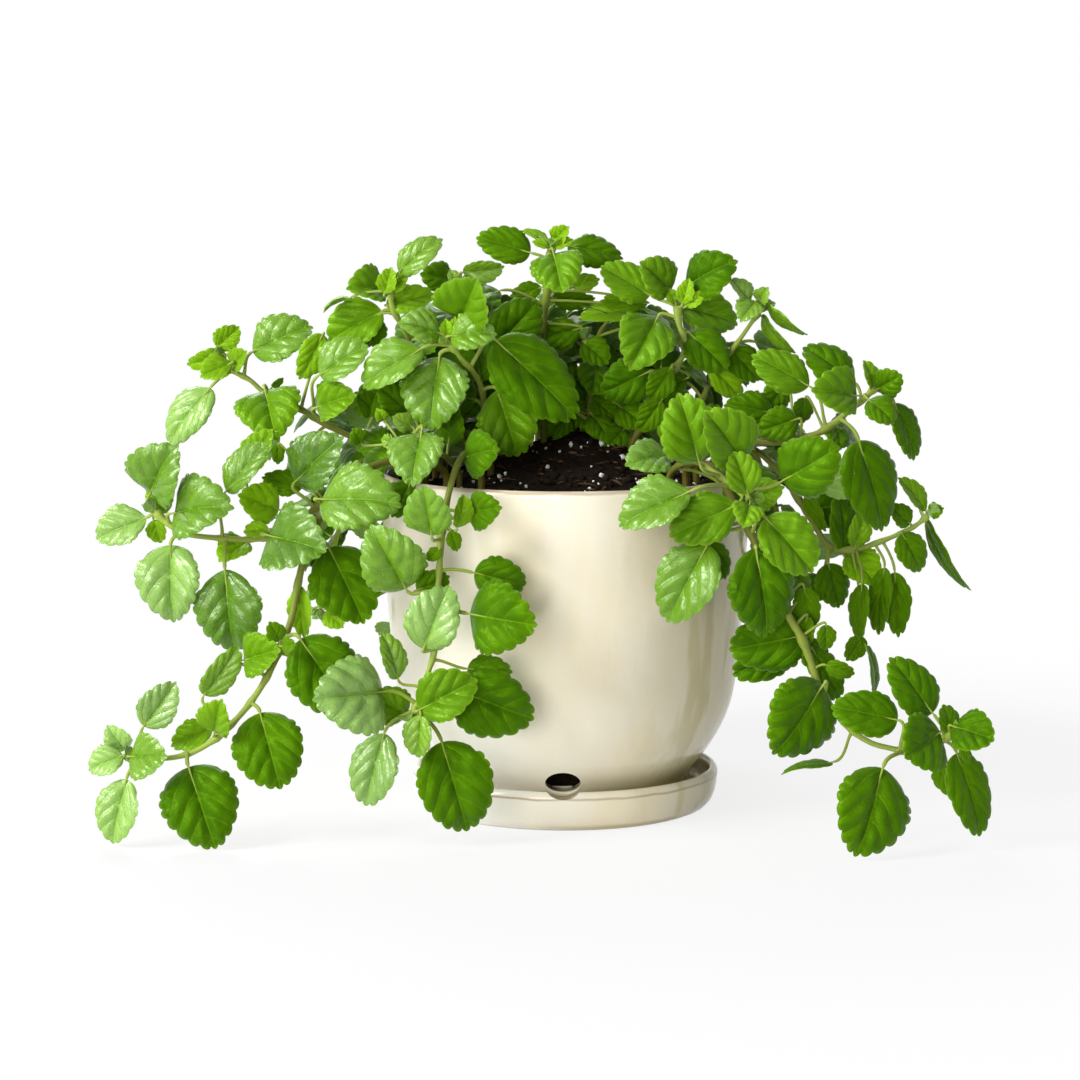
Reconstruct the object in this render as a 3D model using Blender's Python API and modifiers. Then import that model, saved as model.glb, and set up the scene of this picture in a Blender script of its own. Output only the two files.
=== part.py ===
"""Swedish ivy in a glazed pot with its own saucer.

The pot and saucer are one glazed piece, the soil fills it, and each rooted stem
is one piece with its petioles and leaves. Lengths are in metres. The frame has
+Z up, +X to the right and -Y to the front, with its origin at the middle of the
saucer's underside.
"""

import math
import random
from dataclasses import dataclass
from dataclasses import field

import bmesh
import bpy
from mathutils import Matrix
from mathutils import Vector
from mathutils.bvhtree import BVHTree

MM = 0.001

# Driving dimensions
POT_RIM_RADIUS = 85.0 * MM
POT_HEIGHT = 154.0 * MM
SAUCER_RADIUS = 70.5 * MM
SAUCER_HEIGHT = 18.3 * MM
GAP = 0.3 * MM

# Pot
POT_SIDES = 36
RIM_ROUND = 2.0 * MM
FOOT_RADIUS = 56.0 * MM
SAUCER_LIP = 4.6 * MM
SAUCER_FLOOR = 8.0 * MM
UNDERSIDE_INSET = 7.0 * MM
POT_FLOOR = 12.5 * MM
DRAIN_RADIUS = 7.0 * MM
DRAIN_HEIGHT = 21.0 * MM
DRAIN_X = -1.5 * MM
DRAIN_REACH = 28.0 * MM
DRAIN_SIDES = 16

# The wall from the rim down: height, how far inside the rim's radius, thickness
WALL_ROWS = (
    (151.0, 0.0, 4.2), (126.0, 1.6, 4.4), (98.0, 3.0, 4.6), (74.0, 5.0, 5.0), (58.0, 6.7, 5.8),
    (45.5, 9.6, 6.6), (34.5, 14.6, 7.2), (25.0, 20.6, 8.0),
)

# Soil
SOIL_EDGE_HEIGHT = 149.5 * MM
SOIL_CROWN = 12.0 * MM
SOIL_SIDES = POT_SIDES // 2
SOIL_RINGS = 3
SOCKET_DEPTH = 7.0 * MM
SOCKET_SIDES = 5

# Leaves and stems
BLADE_THICKNESS = 1.2 * MM
BLADE_CLEARANCE = 0.4 * MM
PETIOLE_RADIUS = 0.65 * MM
PETIOLE_SIDES = 3
PETIOLE_BITE = 1.6 * MM
TIP_INSET = 1.2 * MM
SMALL_LEAF = 13.0 * MM
LENGTH_PER_WIDTH = 1.12
MOST_LEAN = 0.62
LAYER_SLOPE = 0.13
CUP = 0.17
DROOP = 0.13
FRONT = Vector((0.0, -1.0, 0.42))
LAYERS = (0.0, -4.0, 4.0, -8.0, 8.0, -12.0, 12.0, -17.0, 17.0, 22.0)
FLOOR_CLEARANCE = 0.4 * MM

# Half outline of a blade from base to tip: distance along the midrib, half width
BROAD_OUTLINE = ((0.26, 0.45), (0.68, 0.44))
SMALL_OUTLINE = ((0.45, 0.5),)


@dataclass
class Leaf:
    """One blade with its petiole: base and tip of the midrib, width, face."""

    base: Vector
    tip: Vector
    width: float
    face: Vector
    anchor: Vector = None


@dataclass
class Stem:
    """One rooted stem: its centre line from the root up, and its leaves."""

    name: str
    radius: float
    route: list
    leaves: list = field(default_factory=list)


def point(x, y, z):
    """A point given in millimetres."""
    return Vector((x, y, z)) * MM


def leaf(base, tip, width, roll=0.0, lean=1.0):
    """A leaf placed in the front view.

    base is the point (x, y, z) where the blade starts, tip is the tip's (x, z),
    and the length that doesn't show from the front leans towards the viewer, or
    away where lean is negative. Roll turns the blade about its midrib, degrees.
    """
    start = point(*base)
    end = point(tip[0], base[1], tip[1])
    blade_width = width * MM
    seen = (end - start).length
    hidden = math.sqrt(max(0.0, (LENGTH_PER_WIDTH * blade_width) ** 2 - seen**2))
    depth = min(hidden, MOST_LEAN * blade_width) * lean
    end += Vector((0.0, -depth, LAYER_SLOPE * depth))
    midrib = (end - start).normalized()
    face = FRONT - midrib * FRONT.dot(midrib)
    face = Matrix.Rotation(math.radians(roll), 3, midrib) @ face.normalized()
    return Leaf(start, end, blade_width, face)


def stem(name, radius, route, leaves=()):
    """A stem whose route is a list of points in millimetres."""
    return Stem(name, radius * MM, [point(*place) for place in route], list(leaves))


def front_stems():
    """The stems that grow to the front, the sides and the top, placed one by one."""
    return [
        stem("front_left_trailer", 1.7, (
            (-38, -44, 144), (-38, -44, 158), (-42, -58, 168), (-47, -74, 166), (-51, -86, 154),
            (-54, -92, 138), (-55, -96, 122), (-56, -98, 104), (-57, -99, 88), (-61, -99, 74),
            (-66, -100, 60),
        ), (
            leaf((-57, -104, 137), (-60, 158), 21),
            leaf((-47, -98, 140), (-44, 154), 10, 45),
            leaf((-43, -92, 146), (-30, 148), 17),
            leaf((-43, -68, 167), (-31, 170), 18),
            leaf((-69, -98, 113), (-83, 139), 28),
            leaf((-65, -92, 112), (-51, 118), 13),
            leaf((-61, -103, 88), (-51, 113), 22),
            leaf((-40, -94, 120), (-18, 115), 19),
            leaf((-43, -98, 103), (-17, 99), 31),
            leaf((-73, -96, 74), (-79, 94), 14, 60),
            leaf((-77, -103, 68), (-105, 66), 34),
            leaf((-68, -99, 58), (-80, 66), 14),
            leaf((-64, -106, 62), (-42, 74), 20),
            leaf((-47, -97, 68), (-17, 56), 27),
            leaf((-43, -92, 78), (-24, 77), 14),
            leaf((-77, -102, 51), (-85, 22), 20),
            leaf((-63, -107, 60), (-64, 42), 14),
            leaf((-54, -101, 47), (-43, 8), 33),
        )),
        stem("right_rosette", 1.6, (
            (46, -50, 144), (46, -50, 158), (55, -64, 165), (64, -78, 162), (71, -88, 157),
            (77, -94, 154),
        ), (
            leaf((59, -92, 170), (51, 196), 25),
            leaf((76, -98, 168), (60, 189), 26),
            leaf((77, -102, 155), (71, 173), 16),
            leaf((81, -100, 153), (92, 158), 15),
            leaf((78, -104, 152), (75, 142), 14),
            leaf((91, -100, 160), (112, 173), 27),
            leaf((45, -84, 167), (26, 164), 20),
            leaf((52, -92, 155), (22, 141), 24),
            leaf((72, -100, 150), (44, 137), 23),
        )),
        stem("lower_right_runner", 1.8, (
            (54, -40, 144), (54, -40, 159), (62, -58, 163), (68, -76, 157), (73, -88, 147),
            (79, -93, 137), (83, -94, 127), (88, -94, 115), (95, -94, 102), (101, -94, 92),
            (105, -94, 82), (109, -95, 71), (115, -97, 61), (123, -99, 52), (131, -101, 47),
            (139, -103, 45), (147, -105, 44), (157, -108, 47), (165, -110, 53),
        ), (
            leaf((60, -100, 133), (43, 100), 27),
            leaf((61, -90, 133), (69, 117), 13),
            leaf((81, -100, 131), (87, 93), 31),
            leaf((85, -103, 145), (105, 122), 25),
            leaf((101, -88, 90), (71, 84), 25),
            leaf((113, -101, 69), (94, 42), 31),
            leaf((144, -107, 53), (116, 59), 20),
            leaf((141, -108, 36), (130, -1), 36),
            leaf((161, -112, 52), (145, 42), 27),
            leaf((168, -114, 54), (184, 49), 20),
            leaf((166, -110, 55), (163, 65), 9),
            leaf((169, -112, 42), (180, 8), 20),
            leaf((161, -100, 37), (167, 23), 10, 50),
            leaf((157, -108, 61), (139, 85), 20),
            leaf((115, -98, 38), (93, 35), 12, 70),
            leaf((134, -90, 67), (131, 88), 12, 60),
            leaf((107, -86, 85), (117, 67), 12),
        )),
        stem("lower_left_runner", 1.8, (
            (-54, -50, 143), (-54, -50, 159), (-70, -62, 166), (-88, -70, 162), (-102, -74, 150),
            (-112, -77, 132), (-117, -78, 114), (-120, -82, 98), (-124, -86, 87), (-129, -89, 76),
            (-135, -90, 66), (-142, -90, 57), (-151, -90, 48), (-162, -90, 41), (-174, -90, 38),
            (-187, -90, 39),
        ), (
            leaf((-184, -90, 52), (-170, 71), 17, 25),
            leaf((-193, -92, 41), (-200, 52), 12),
            leaf((-193, -94, 40), (-208, 34), 14),
            leaf((-190, -96, 40), (-173, 41), 21),
            leaf((-191, -98, 30), (-198, 2), 20),
            leaf((-164, -98, 36), (-152, 1), 34),
            leaf((-133, -94, 59), (-124, 27), 31),
            leaf((-155, -82, 50), (-173, 42), 14),
            leaf((-153, -84, 48), (-149, 63), 17),
            leaf((-158, -86, 65), (-143, 86), 14, 40),
            leaf((-142, -84, 80), (-128, 84), 16),
            leaf((-124, -92, 90), (-128, 98), 9),
            leaf((-123, -92, 88), (-117, 89), 8),
            leaf((-115, -94, 91), (-96, 62), 29),
            leaf((-117, -76, 112), (-115, 89), 11),
            leaf((-108, -84, 151), (-75, 150), 31),
            leaf((-104, -71, 128), (-90, 98), 30),
        )),
        stem("left_branch", 1.7, (
            (-64, -26, 144), (-64, -26, 161), (-80, -36, 164), (-96, -44, 156), (-112, -52, 142),
            (-126, -56, 133), (-140, -59, 130), (-155, -61, 131), (-168, -62, 133), (-176, -62, 138),
            (-181, -62, 143),
        ), (
            leaf((-183, -62, 150), (-172, 169), 26),
            leaf((-185, -62, 140), (-207, 131), 19),
            leaf((-174, -68, 139), (-148, 143), 30),
            leaf((-174, -66, 128), (-174, 94), 29),
            leaf((-183, -62, 139), (-180, 129), 9),
            leaf((-177, -68, 143), (-183, 154), 10),
            leaf((-150, -64, 117), (-147, 81), 31),
            leaf((-131, -74, 134), (-106, 128), 32),
            leaf((-141, -56, 129), (-153, 121), 15),
            leaf((-127, -50, 142), (-140, 147), 14),
            leaf((-149, -58, 151), (-131, 172), 18),
            leaf((-120, -56, 155), (-102, 172), 23),
            leaf((-117, -46, 152), (-135, 156), 12),
        )),
        stem("upper_left_branch", 1.6, (
            (-60, -10, 144), (-60, -10, 160), (-72, -20, 167), (-86, -26, 169), (-100, -28, 174),
            (-111, -28, 180), (-118, -26, 184), (-128, -24, 188), (-136, -22, 192), (-142, -20, 197),
            (-149, -20, 201), (-154, -20, 206),
        ), (
            leaf((-135, -30, 191), (-129, 169), 30),
            leaf((-141, -20, 206), (-115, 218), 24),
            leaf((-158, -24, 193), (-178, 168), 20),
            leaf((-157, -20, 212), (-147, 221), 12),
            leaf((-154, -22, 209), (-170, 204), 10),
            leaf((-150, -26, 205), (-163, 199), 13),
            leaf((-150, -24, 203), (-143, 210), 11),
            leaf((-108, -40, 219), (-118, 199), 14, -30),
            leaf((-109, -50, 200), (-88, 213), 20),
            leaf((-106, -44, 187), (-93, 191), 14),
        )),
        stem("front_rosette", 1.6, (
            (-34, -24, 144), (-34, -24, 164), (-36, -32, 182), (-38, -40, 196), (-42, -46, 204),
            (-47, -51, 210), (-51, -54, 216),
        ), (
            leaf((-64, -56, 214), (-90, 198), 22),
            leaf((-56, -62, 212), (-60, 180), 31),
            leaf((-55, -60, 221), (-72, 226), 17),
            leaf((-49, -54, 228), (-41, 246), 27),
            leaf((-51, -62, 220), (-31, 221), 18),
            leaf((-33, -46, 214), (2, 180), 32),
            leaf((-32, -48, 193), (-23, 164), 27),
        )),
        stem("front_left_shoot", 1.5, (
            (-48, -38, 144), (-48, -38, 158), (-54, -50, 166), (-64, -60, 171), (-74, -64, 173),
        ), (
            leaf((-63, -76, 180), (-67, 157), 25),
            leaf((-70, -46, 186), (-82, 196), 16),
            leaf((-84, -36, 184), (-92, 191), 12),
            leaf((-68, -72, 157), (-76, 142), 16),
        )),
        stem("top_left_branch", 1.5, (
            (-44, -4, 144), (-44, -4, 165), (-54, -14, 186), (-64, -22, 205), (-72, -32, 220),
            (-77, -38, 231), (-78, -41, 239),
        ), (
            leaf((-74, -44, 247), (-56, 262), 15),
            leaf((-80, -46, 241), (-96, 241), 19),
            leaf((-80, -50, 238), (-77, 249), 9),
            leaf((-80, -44, 233), (-59, 238), 13),
            leaf((-95, -40, 236), (-108, 230), 10, 70),
            leaf((-83, -40, 229), (-105, 221), 14),
            leaf((-84, -34, 226), (-88, 213), 12),
        )),
        stem("top_centre_branch", 1.6, (
            (-10, 4, 144), (-10, 4, 170), (-12, 4, 190), (-11, 2, 208), (-10, -2, 222),
            (-9, -5, 232), (-8, -8, 243), (-7, -10, 255),
        ), (
            leaf((-16, -10, 251), (-40, 258), 17),
            leaf((-3, -16, 254), (1, 235), 24),
            leaf((3, -10, 254), (28, 249), 16),
            leaf((-7, -8, 258), (-20, 264), 8, 40),
            leaf((-6, -8, 259), (1, 265), 9),
            leaf((8, 0, 221), (-12, 216), 15),
            leaf((3, -2, 238), (15, 242), 9),
            leaf((-6, -2, 233), (13, 232), 12, 50),
            leaf((-31, -20, 212), (-13, 232), 23),
        )),
        stem("top_right_rosette", 1.6, (
            (30, -8, 144), (30, -8, 166), (36, -10, 178), (38, -12, 188), (43, -13, 196),
            (50, -14, 203), (54, -14, 212), (51, -16, 222), (50, -18, 231),
        ), (
            leaf((38, -14, 231), (16, 244), 18),
            leaf((48, -18, 236), (34, 248), 19),
            leaf((57, -18, 237), (76, 247), 21),
            leaf((51, -22, 232), (58, 240), 10),
            leaf((43, -26, 225), (31, 202), 27),
            leaf((53, -24, 229), (75, 223), 18),
            leaf((54, -14, 218), (69, 203), 19),
            leaf((39, -22, 201), (18, 191), 21),
            leaf((55, -8, 197), (45, 193), 10),
        )),
        stem("upper_right_cluster", 1.4, (
            (52, 12, 144), (52, 12, 164), (60, 6, 180), (67, 0, 197), (74, -8, 208),
            (80, -12, 217), (87, -16, 228),
        ), (
            leaf((89, -18, 231), (108, 216), 15, 40),
            leaf((88, -14, 226), (103, 209), 14, 40),
            leaf((86, -20, 232), (77, 243), 11, 40),
            leaf((87, -22, 231), (80, 222), 13),
            leaf((75, -4, 210), (88, 196), 16),
            leaf((66, -2, 202), (80, 188), 14),
        )),
        stem("right_branch", 1.6, (
            (60, -18, 144), (60, -18, 160), (76, -20, 168), (92, -21, 169), (110, -22, 172),
            (121, -22, 178), (128, -22, 184), (134, -22, 189), (139, -22, 194),
        ), (
            leaf((109, -26, 191), (84, 205), 19),
            leaf((130, -30, 189), (111, 191), 20),
            leaf((126, -18, 197), (106, 212), 18),
            leaf((139, -22, 193), (134, 206), 10, 45),
            leaf((139, -24, 193), (149, 199), 14),
            leaf((134, -30, 189), (145, 179), 14),
            leaf((148, -22, 187), (158, 162), 17, -35),
            leaf((131, -34, 171), (143, 131), 28),
            leaf((121, -16, 177), (124, 166), 13),
            leaf((109, -14, 189), (106, 177), 11),
            leaf((100, -6, 194), (90, 182), 14),
            leaf((104, -8, 178), (86, 172), 16),
        )),
        stem("far_right_trailer", 1.5, (
            (68, -2, 144), (68, -2, 160), (84, -4, 165), (99, -8, 152), (111, -12, 134),
            (120, -15, 121), (130, -18, 120), (140, -20, 123), (150, -20, 127), (158, -20, 131),
            (164, -20, 136),
        ), (
            leaf((124, -16, 117), (121, 147), 16),
            leaf((128, -10, 117), (132, 135), 11),
            leaf((128, -14, 118), (139, 106), 16),
            leaf((119, -22, 114), (124, 94), 18),
            leaf((116, -20, 108), (109, 97), 14),
            leaf((133, -16, 104), (131, 79), 12, 40),
            leaf((144, -20, 112), (141, 82), 13, 20),
            leaf((149, -22, 110), (151, 81), 14, 20),
            leaf((152, -24, 128), (161, 111), 15),
            leaf((156, -20, 132), (147, 140), 11),
            leaf((163, -20, 138), (151, 153), 11, 20),
            leaf((165, -18, 134), (184, 100), 15, 50),
        )),
        stem("centre_shoot", 1.4, (
            (12, 8, 144), (12, 8, 170), (11, 6, 190), (10, 4, 206), (9, 3, 214),
        ), (
            leaf((8, 2, 213), (19, 203), 14),
            leaf((14, 4, 204), (12, 188), 18),
            leaf((12, 6, 187), (24, 177), 13),
            leaf((8, 0, 182), (-7, 169), 16),
            leaf((28, -2, 223), (6, 231), 15, 60),
        )),
        stem("top_back_shoot", 1.4, (
            (-26, 10, 144), (-26, 10, 170), (-32, 2, 195), (-40, -12, 215), (-46, -22, 230),
            (-48, -27, 240),
        ), (
            leaf((-46, -30, 246), (-28, 248), 12, 50),
            leaf((-50, -30, 244), (-64, 246), 15),
        )),
    ]


def back_stems():
    """The stems at the back and among the others, which follow one rule.

    Each row: name, the root's radius and direction, the curve's middle and end
    as (radius, height), how far it turns aside, and the largest leaf.
    """
    rows = (
        ("back_trailer_1", 62, 58, (112, 232), (132, 62), 8, 28),
        ("back_trailer_2", 66, 77, (110, 226), (126, 28), -6, 30),
        ("back_trailer_3", 60, 95, (114, 236), (134, 48), 5, 30),
        ("back_trailer_4", 66, 112, (110, 228), (128, 24), -5, 30),
        ("back_trailer_5", 62, 130, (112, 230), (130, 66), -6, 28),
        ("back_shoot_1", 40, 34, (60, 218), (94, 192), 6, 27),
        ("back_shoot_2", 30, 72, (44, 246), (80, 210), -8, 29),
        ("back_shoot_3", 30, 110, (42, 248), (78, 214), 8, 29),
        ("back_shoot_4", 40, 148, (60, 218), (94, 192), -6, 27),
        ("right_back_trailer", 62, 22, (100, 196), (116, 96), 6, 24),
        ("left_back_trailer", 62, 158, (104, 200), (122, 84), 6, 26),
    )
    stems = []
    for number, row in enumerate(rows):
        stems.append(ruled_stem(number, *row))
    return stems


def ruled_stem(seed, name, root_radius, direction, middle, end, turn, largest):
    """A stem along a quadratic arc, with leaf pairs that turn a quarter each node."""
    chance = random.Random(seed)
    heading = math.radians(direction)
    outward = Vector((math.cos(heading), math.sin(heading), 0.0))
    aside = Vector((-outward.y, outward.x, 0.0))
    start = Vector((root_radius, soil_height(root_radius * MM) / MM + 8.0))
    middle_point = Vector(middle)
    end_point = Vector(end)

    def place(share):
        """The centre line's point at a share of its length, in metres."""
        arc = start * (1 - share) ** 2 + middle_point * 2 * share * (1 - share) + end_point * share**2
        side = turn * share * share
        return (outward * arc.x + aside * side) * MM + Vector((0.0, 0.0, arc.y * MM))

    root = place(0.0) - Vector((0.0, 0.0, 15.0 * MM))
    steps = 7
    route = [root] + [place(step / steps) for step in range(steps + 1)]
    leaves = []
    nodes = 5
    for node in range(nodes):
        share = 0.3 + 0.7 * node / (nodes - 1)
        here = place(min(share, 1.0))
        along = (place(min(share, 1.0)) - place(share - 0.08)).normalized()
        across = along.cross(Vector((0.0, 0.0, 1.0))).normalized()
        if node % 2:
            across = (across * 0.35 + outward * 0.8 + Vector((0.0, 0.0, 0.25))).normalized()
        taper = 1.0 - 0.38 * node / (nodes - 1)
        for side in (-1.0, 1.0):
            if node % 2 and side < 0:
                continue
            wander = Vector([chance.uniform(-0.25, 0.25) for _ in range(3)])
            width = largest * MM * taper * chance.uniform(0.88, 1.08)
            spread = (across * side + along * 0.45 + wander + Vector((0.0, 0.0, 0.1))).normalized()
            base = here + spread * (0.36 * width)
            fall = (spread + Vector((0.0, 0.0, -0.45))).normalized()
            tip = base + fall * (width * LENGTH_PER_WIDTH)
            face = (Vector((0.0, 0.0, 1.0)) + outward * 0.9).normalized()
            face = (face - fall * face.dot(fall)).normalized()
            leaves.append(Leaf(base, tip, width, face))
    return Stem(name, 1.5 * MM, route, leaves)


def soil_height(radius):
    """Height of the soil's surface at a distance from the pot's axis."""
    edge = inner_radius(SOIL_EDGE_HEIGHT)
    share = min(1.0, radius / edge)
    return SOIL_EDGE_HEIGHT + SOIL_CROWN * 0.5 * (1 + math.cos(math.pi * share))


def outer_profile():
    """The pot's outer wall from the rim down to the foot, as (radius, height)."""
    wall = [(POT_RIM_RADIUS - inset * MM, height * MM) for height, inset, _ in WALL_ROWS]
    return wall + [(FOOT_RADIUS + 2.7 * MM, 17.0 * MM), (FOOT_RADIUS, SAUCER_FLOOR)]


def inner_profile():
    """The pot's inner wall from the rim down to the floor, as (radius, height)."""
    wall = []
    for height, inset, thickness in WALL_ROWS:
        wall.append((POT_RIM_RADIUS - (inset + thickness) * MM, height * MM))
    return wall + [(FOOT_RADIUS - 9.5 * MM, 17.5 * MM), (FOOT_RADIUS - 19.5 * MM, POT_FLOOR)]


def inner_radius(height):
    """The pot's inner radius at a height."""
    wall = inner_profile()
    for upper, lower in zip(wall, wall[1:]):
        if lower[1] <= height <= upper[1]:
            share = (height - lower[1]) / (upper[1] - lower[1])
            return lower[0] + share * (upper[0] - lower[0])
    return wall[0][0]


def pot_profile():
    """The whole turned outline, from the pot's floor over the rim to the underside."""
    rim = []
    middle = 0.5 * (POT_RIM_RADIUS + inner_profile()[0][0])
    for angle in (150, 90, 30):
        turn = math.radians(angle)
        rim.append((
            middle + RIM_ROUND * math.cos(turn),
            POT_HEIGHT - RIM_ROUND + RIM_ROUND * math.sin(turn),
        ))
    outline = [(0.0, POT_FLOOR)] + inner_profile()[::-1] + rim + outer_profile()
    lip = SAUCER_RADIUS - SAUCER_LIP
    outline += [
        (lip - 3.5 * MM, SAUCER_FLOOR),
        (lip + 0.3 * MM, SAUCER_HEIGHT - 1.1 * MM),
        (lip + 0.5 * SAUCER_LIP, SAUCER_HEIGHT),
        (SAUCER_RADIUS - 0.5 * MM, SAUCER_HEIGHT - 0.7 * MM),
        (SAUCER_RADIUS, SAUCER_HEIGHT - 3.8 * MM),
        (SAUCER_RADIUS - 0.9 * MM, SAUCER_FLOOR),
        (SAUCER_RADIUS - 3.5 * MM, 2.8 * MM),
        (SAUCER_RADIUS - UNDERSIDE_INSET, 0.0),
        (0.0, 0.0),
    ]
    return outline


def material(name, colour, roughness, coat=0.0):
    """A Principled material."""
    made = bpy.data.materials.new(name)
    made.use_nodes = True
    shader = made.node_tree.nodes["Principled BSDF"]
    shader.inputs["Base Color"].default_value = (*colour, 1.0)
    shader.inputs["Roughness"].default_value = roughness
    shader.inputs["Metallic"].default_value = 0.0
    shader.inputs["Coat Weight"].default_value = coat
    return made


def new_object(name, mesh, collection, finish=None):
    """An object in a collection, with its material."""
    made = bpy.data.objects.new(name, mesh)
    collection.objects.link(made)
    if finish:
        mesh.materials.append(finish)
    return made


def as_tool(made):
    """Marks an object as a cutter or guide."""
    made.hide_render = True
    made.display_type = "WIRE"
    return made


def boolean(target, operation, operand):
    """Adds a Boolean with an object or with a whole collection."""
    modifier = target.modifiers.new(operation.title(), "BOOLEAN")
    modifier.operation = operation
    modifier.solver = "EXACT"
    if isinstance(operand, bpy.types.Collection):
        modifier.operand_type = "COLLECTION"
        modifier.collection = operand
    else:
        modifier.object = operand


def turned(name, profile, sides, collection, finish):
    """A closed turned body from a profile that runs from axis to axis."""
    bm = bmesh.new()
    vertices = [bm.verts.new((radius, 0.0, height)) for radius, height in profile]
    for first, second in zip(vertices, vertices[1:]):
        bm.edges.new((first, second))
    mesh = bpy.data.meshes.new(name)
    bm.to_mesh(mesh)
    bm.free()
    made = new_object(name, mesh, collection, finish)
    screw = made.modifiers.new("Turn", "SCREW")
    screw.steps = sides
    screw.render_steps = sides
    screw.use_merge_vertices = True
    screw.merge_threshold = 0.00001
    screw.use_normal_calculate = True
    return made


def build_pot(collection, tools, finish):
    """The pot with its saucer and the drain hole in the front of the wall."""
    pot = turned("pot_with_saucer", pot_profile(), POT_SIDES, collection, finish)
    bm = bmesh.new()
    bmesh.ops.create_cone(
        bm, cap_ends=True, segments=DRAIN_SIDES, radius1=DRAIN_RADIUS, radius2=DRAIN_RADIUS,
        depth=DRAIN_REACH,
    )
    mesh = bpy.data.meshes.new("drain_cutter")
    bm.to_mesh(mesh)
    bm.free()
    cutter = as_tool(new_object("drain_cutter", mesh, tools))
    cutter.rotation_euler = (math.radians(90), 0.0, 0.0)
    cutter.location = (DRAIN_X, -FOOT_RADIUS - 2.0 * MM, DRAIN_HEIGHT)
    boolean(pot, "DIFFERENCE", cutter)
    return pot


def build_soil(collection, tools, finish, stems):
    """The soil, with a socket for each stem's foot."""
    edge = inner_radius(SOIL_EDGE_HEIGHT) - GAP
    profile = [(0.0, POT_FLOOR + GAP)]
    for radius, height in inner_profile()[::-1]:
        if height < SOIL_EDGE_HEIGHT:
            profile.append((radius - GAP, height + GAP))
    for ring in range(SOIL_RINGS):
        radius = edge * (1 - ring / SOIL_RINGS)
        profile.append((radius, soil_height(radius)))
    profile.append((0.0, soil_height(0.0)))
    soil = turned("soil", profile[::-1], SOIL_SIDES, collection, finish)
    sockets = bpy.data.collections.new("sockets")
    tools.children.link(sockets)
    for grown in stems:
        foot = grown.route[0]
        bm = bmesh.new()
        bmesh.ops.create_cone(
            bm, cap_ends=True, segments=SOCKET_SIDES, radius1=grown.radius * 1.2 + GAP,
            radius2=grown.radius * 1.2 + GAP, depth=2 * SOCKET_DEPTH,
        )
        mesh = bpy.data.meshes.new("socket_" + grown.name)
        bm.to_mesh(mesh)
        bm.free()
        cutter = as_tool(new_object(mesh.name, mesh, sockets))
        cutter.location = (foot.x, foot.y, soil_height(math.hypot(foot.x, foot.y)))
    boolean(soil, "DIFFERENCE", sockets)
    return soil


def seat_foot(grown):
    """Puts a stem's foot just above the bottom of its socket."""
    foot = grown.route[0]
    surface = soil_height(math.hypot(foot.x, foot.y))
    foot.z = surface - SOCKET_DEPTH + GAP


def tube_mesh(name, route, radius):
    """A welded tube along a route."""
    curve = bpy.data.curves.new(name, "CURVE")
    curve.dimensions = "3D"
    curve.bevel_depth = radius
    curve.bevel_resolution = 0
    curve.use_fill_caps = True
    spline = curve.splines.new("POLY")
    spline.points.add(len(route) - 1)
    last = len(route) - 1
    for index, place in enumerate(route):
        spline.points[index].co = (*place, 1.0)
        spline.points[index].radius = 1.0 - 0.4 * index / last
    guide = bpy.data.objects.new(name, curve)
    bpy.context.scene.collection.objects.link(guide)
    bpy.context.view_layer.update()
    evaluated = guide.evaluated_get(bpy.context.evaluated_depsgraph_get())
    mesh = bpy.data.meshes.new_from_object(evaluated)
    bpy.data.objects.remove(guide)
    bpy.data.curves.remove(curve)
    bm = bmesh.new()
    bm.from_mesh(mesh)
    bmesh.ops.remove_doubles(bm, verts=bm.verts, dist=0.02 * MM)
    bmesh.ops.recalc_face_normals(bm, faces=bm.faces)
    bm.to_mesh(mesh)
    bm.free()
    mesh.name = name
    return mesh


def anchor_on(route, base):
    """The point of a stem's centre line where a leaf's petiole starts."""
    best = None
    end = route[-1] + (route[-2] - route[-1]).normalized() * TIP_INSET
    line = route[1:-1] + [end]
    for first, second in zip(line, line[1:]):
        span = second - first
        share = max(0.0, min(1.0, (base - first).dot(span) / span.length_squared))
        place = first + span * share
        distance = (base - place).length
        if best is None or distance < best[0]:
            best = (distance, place)
    return best[1]


def blade_outline(blade):
    """Ring of the blade as (along, across) in metres, from the base round to the base."""
    half = SMALL_OUTLINE if blade.width < SMALL_LEAF else BROAD_OUTLINE
    length = (blade.tip - blade.base).length
    right = [(along * length, across * blade.width) for along, across in half]
    left = [(along, -across) for along, across in reversed(right)]
    return [(0.0, 0.0)] + right + [(length, 0.0)] + left


def blade_bmesh(blade, thickness):
    """The blade as a cupped sheet with thickness."""
    length = (blade.tip - blade.base).length
    midrib = (blade.tip - blade.base) / length
    up = (blade.face - midrib * blade.face.dot(midrib)).normalized()
    across = midrib.cross(up)
    ring = blade_outline(blade)

    def place(along, side):
        """A point of the cupped blade."""
        sink = CUP * side * side / (0.5 * blade.width) + DROOP * length * (along / length) ** 2
        rise = DROOP * along
        return blade.base + midrib * along + across * side + up * (rise - sink)

    bm = bmesh.new()
    bmesh.ops.create_circle(bm, cap_ends=True, segments=len(ring), radius=1.0)
    rim = sorted(bm.verts, key=lambda vertex: math.atan2(vertex.co.y, vertex.co.x) % math.tau)
    for vertex, (along, side) in zip(rim, ring):
        vertex.co = place(along, side)
    bmesh.ops.triangulate(bm, faces=bm.faces)
    bmesh.ops.recalc_face_normals(bm, faces=bm.faces)
    bmesh.ops.solidify(bm, geom=bm.faces[:], thickness=thickness)
    bmesh.ops.triangulate(bm, faces=bm.faces)
    bmesh.ops.recalc_face_normals(bm, faces=bm.faces)
    return bm


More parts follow.
